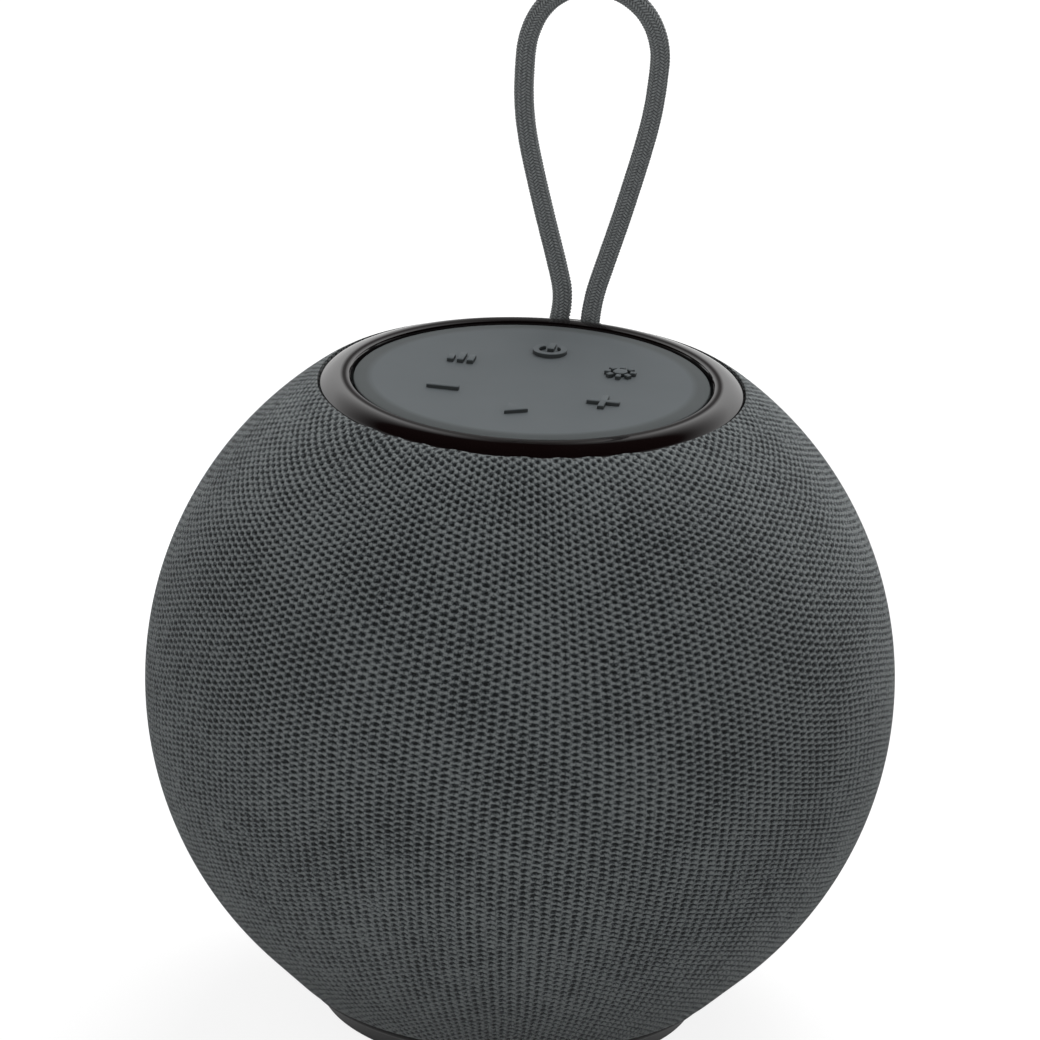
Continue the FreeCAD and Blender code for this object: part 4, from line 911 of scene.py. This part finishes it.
print(len(FINISHES), "finishes on", len(frame["nodes"]), "solids")

# %% [markdown]
# ## Rings that flex
# A rubber surround or a cloth spider holds a moving cone at its inner edge and sits on a fixed frame at its
# outer edge. Each ring is parted into eight like sectors, cut along planes through its axis, and each sector
# is shown on its own, attached to no body.

# %% Flexing rings
SECTORS = 8


def flexing(node):
    """Sectors of a CAD ring about an axis along Y, each shown on its own and attached to no body."""
    solid = frame["nodes"][node]
    corners = np.array([v.co for v in solid.data.vertices])
    middle = (corners.min(axis=0) + corners.max(axis=0)) / 2
    half = math.pi / SECTORS
    for number in range(SECTORS):
        angle = number * math.tau / SECTORS
        bm = bmesh.new()
        bm.from_mesh(solid.data)
        clean(bm)
        for side in (-1, 1):
            edge = angle + side * half
            bmesh.ops.bisect_plane(
                bm, geom=[*bm.verts, *bm.edges, *bm.faces], plane_co=middle, clear_outer=True,
                plane_no=(-side * math.sin(edge), 0, side * math.cos(edge)),
            )
            bmesh.ops.holes_fill(bm, edges=[e for e in bm.edges if e.is_boundary])
        bmesh.ops.triangulate(bm, faces=bm.faces)
        finish, name = FINISHES[slots[node]], f"{node}_{number + 1}"
        sector = show(name, to_mesh(node, bm), [finish], slots[node], node, body=None)
        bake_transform(sector)


flexing("driver_surround")
flexing("driver_spider")
flexing("radiator_surround")

# %% [markdown]
# ## Stage and light
# Two white walls stand at the back with a gap between them, and a dark ceiling above, as in many product
# studios. The rest of the room is dimmer. Matt parts take their light from soft lamps. The gloss ring shows the
# walls at its sides and the ceiling in front. The lamps are kept out of mirror reflections, because the
# studio's own soft boxes are out of sight too.

# %% Floor
FLOOR_HALF = 6.0
floor_bm = bmesh.new()
bmesh.ops.create_grid(floor_bm, x_segments=1, y_segments=1, size=FLOOR_HALF)
floor_mesh = to_mesh("floor", floor_bm)
floor_material = bpy.data.materials.new("white_sweep")
floor_material.use_nodes = True
tree = floor_material.node_tree
tree.nodes.clear()
# White to the eye and in mirrors, with its shadow, and a plain grey to the light that it throws back
rays = add(tree, "LightPath").outputs
seen = add(tree, "Math", {0: rays["Is Camera Ray"], 1: rays["Is Glossy Ray"]}, operation="MAXIMUM")
seen = add(tree, "Math", {0: seen.outputs[0], 1: rays["Is Transmission Ray"]}, operation="MAXIMUM")
plain = add(tree, "BsdfDiffuse", {"Color": linear("#888888")})
shade = add(tree, "BsdfDiffuse", {"Color": linear("#a0a0a0")})
glow = add(tree, "Emission", {"Color": (1, 1, 1, 1), "Strength": 0.84})
bright = add(tree, "AddShader", {0: shade.outputs[0], 1: glow.outputs[0]})
both = add(tree, "MixShader", {0: seen.outputs[0], 1: plain.outputs[0], 2: bright.outputs[0]})
add(tree, "OutputMaterial", {"Surface": both.outputs[0]})
floor_mesh.materials.append(floor_material)
floor = bpy.data.objects.new("floor", floor_mesh)
scene.collection.objects.link(floor)
print("floor at height 0")

# %% World and lamps
world = bpy.data.worlds.new("studio")
world.use_nodes = True
tree = world.node_tree
way = add(tree, "TexCoord").outputs["Generated"]
direction = add(tree, "SeparateXYZ", {"Vector": way}).outputs
# The height of a direction is the sine of its elevation: the walls fade from 24 to 46 degrees up
walls = add(tree, "ValToRGB", {"Fac": direction["Z"]}, [(0.40, "#ffffff"), (0.72, "#161616")])
# How far a direction lies to either side of the line through camera and object
aside = (math.cos(AZIMUTH), math.sin(AZIMUTH), 0)
aside = add(tree, "VectorMath", {0: way, 1: aside}, operation="DOT_PRODUCT").outputs["Value"]
aside = add(tree, "Math", {0: aside}, operation="ABSOLUTE").outputs[0]
gap = add(tree, "ValToRGB", {"Fac": aside}, [(0.02, "#6a6a6a"), (0.08, "#ffffff")])
# The front half of the room is dimmer than the back
back = add(tree, "Math", {0: direction["Y"], 1: 0.5, 2: 0.5}, operation="MULTIPLY_ADD").outputs[0]
front = add(tree, "ValToRGB", {"Fac": back}, [(0.5, "#b0b0b0"), (0.8, "#ffffff")])
power = add(
    tree, "Math", {0: gap.outputs["Color"], 1: front.outputs["Color"]}, operation="MULTIPLY"
).outputs[0]
tree.links.new(walls.outputs["Color"], tree.nodes["Background"].inputs["Color"])
tree.links.new(power, tree.nodes["Background"].inputs["Strength"])
scene.world = world


def lamp(name, place, size, power):
    """A square soft lamp aimed at the ball, its place and size in metres, its power in watts."""
    data = bpy.data.lights.new(name, "AREA")
    data.size = size
    data.energy = power
    made = bpy.data.objects.new(name, data)
    made.location = place
    made.rotation_mode = "QUATERNION"
    made.rotation_quaternion = (BALL_CENTRE - Vector(place)).to_track_quat("-Z", "Y")
    made.visible_glossy = False
    scene.collection.objects.link(made)


lamp("top_lamp", (0.08, 0.7, 1.15), 0.9, 9.9)
lamp("left_lamp", (-0.6, -1.1, 0.65), 0.8, 2.3)
lamp("right_lamp", (0.7, -1.05, 0.65), 0.8, 1.6)
print("studio lit by three lamps")
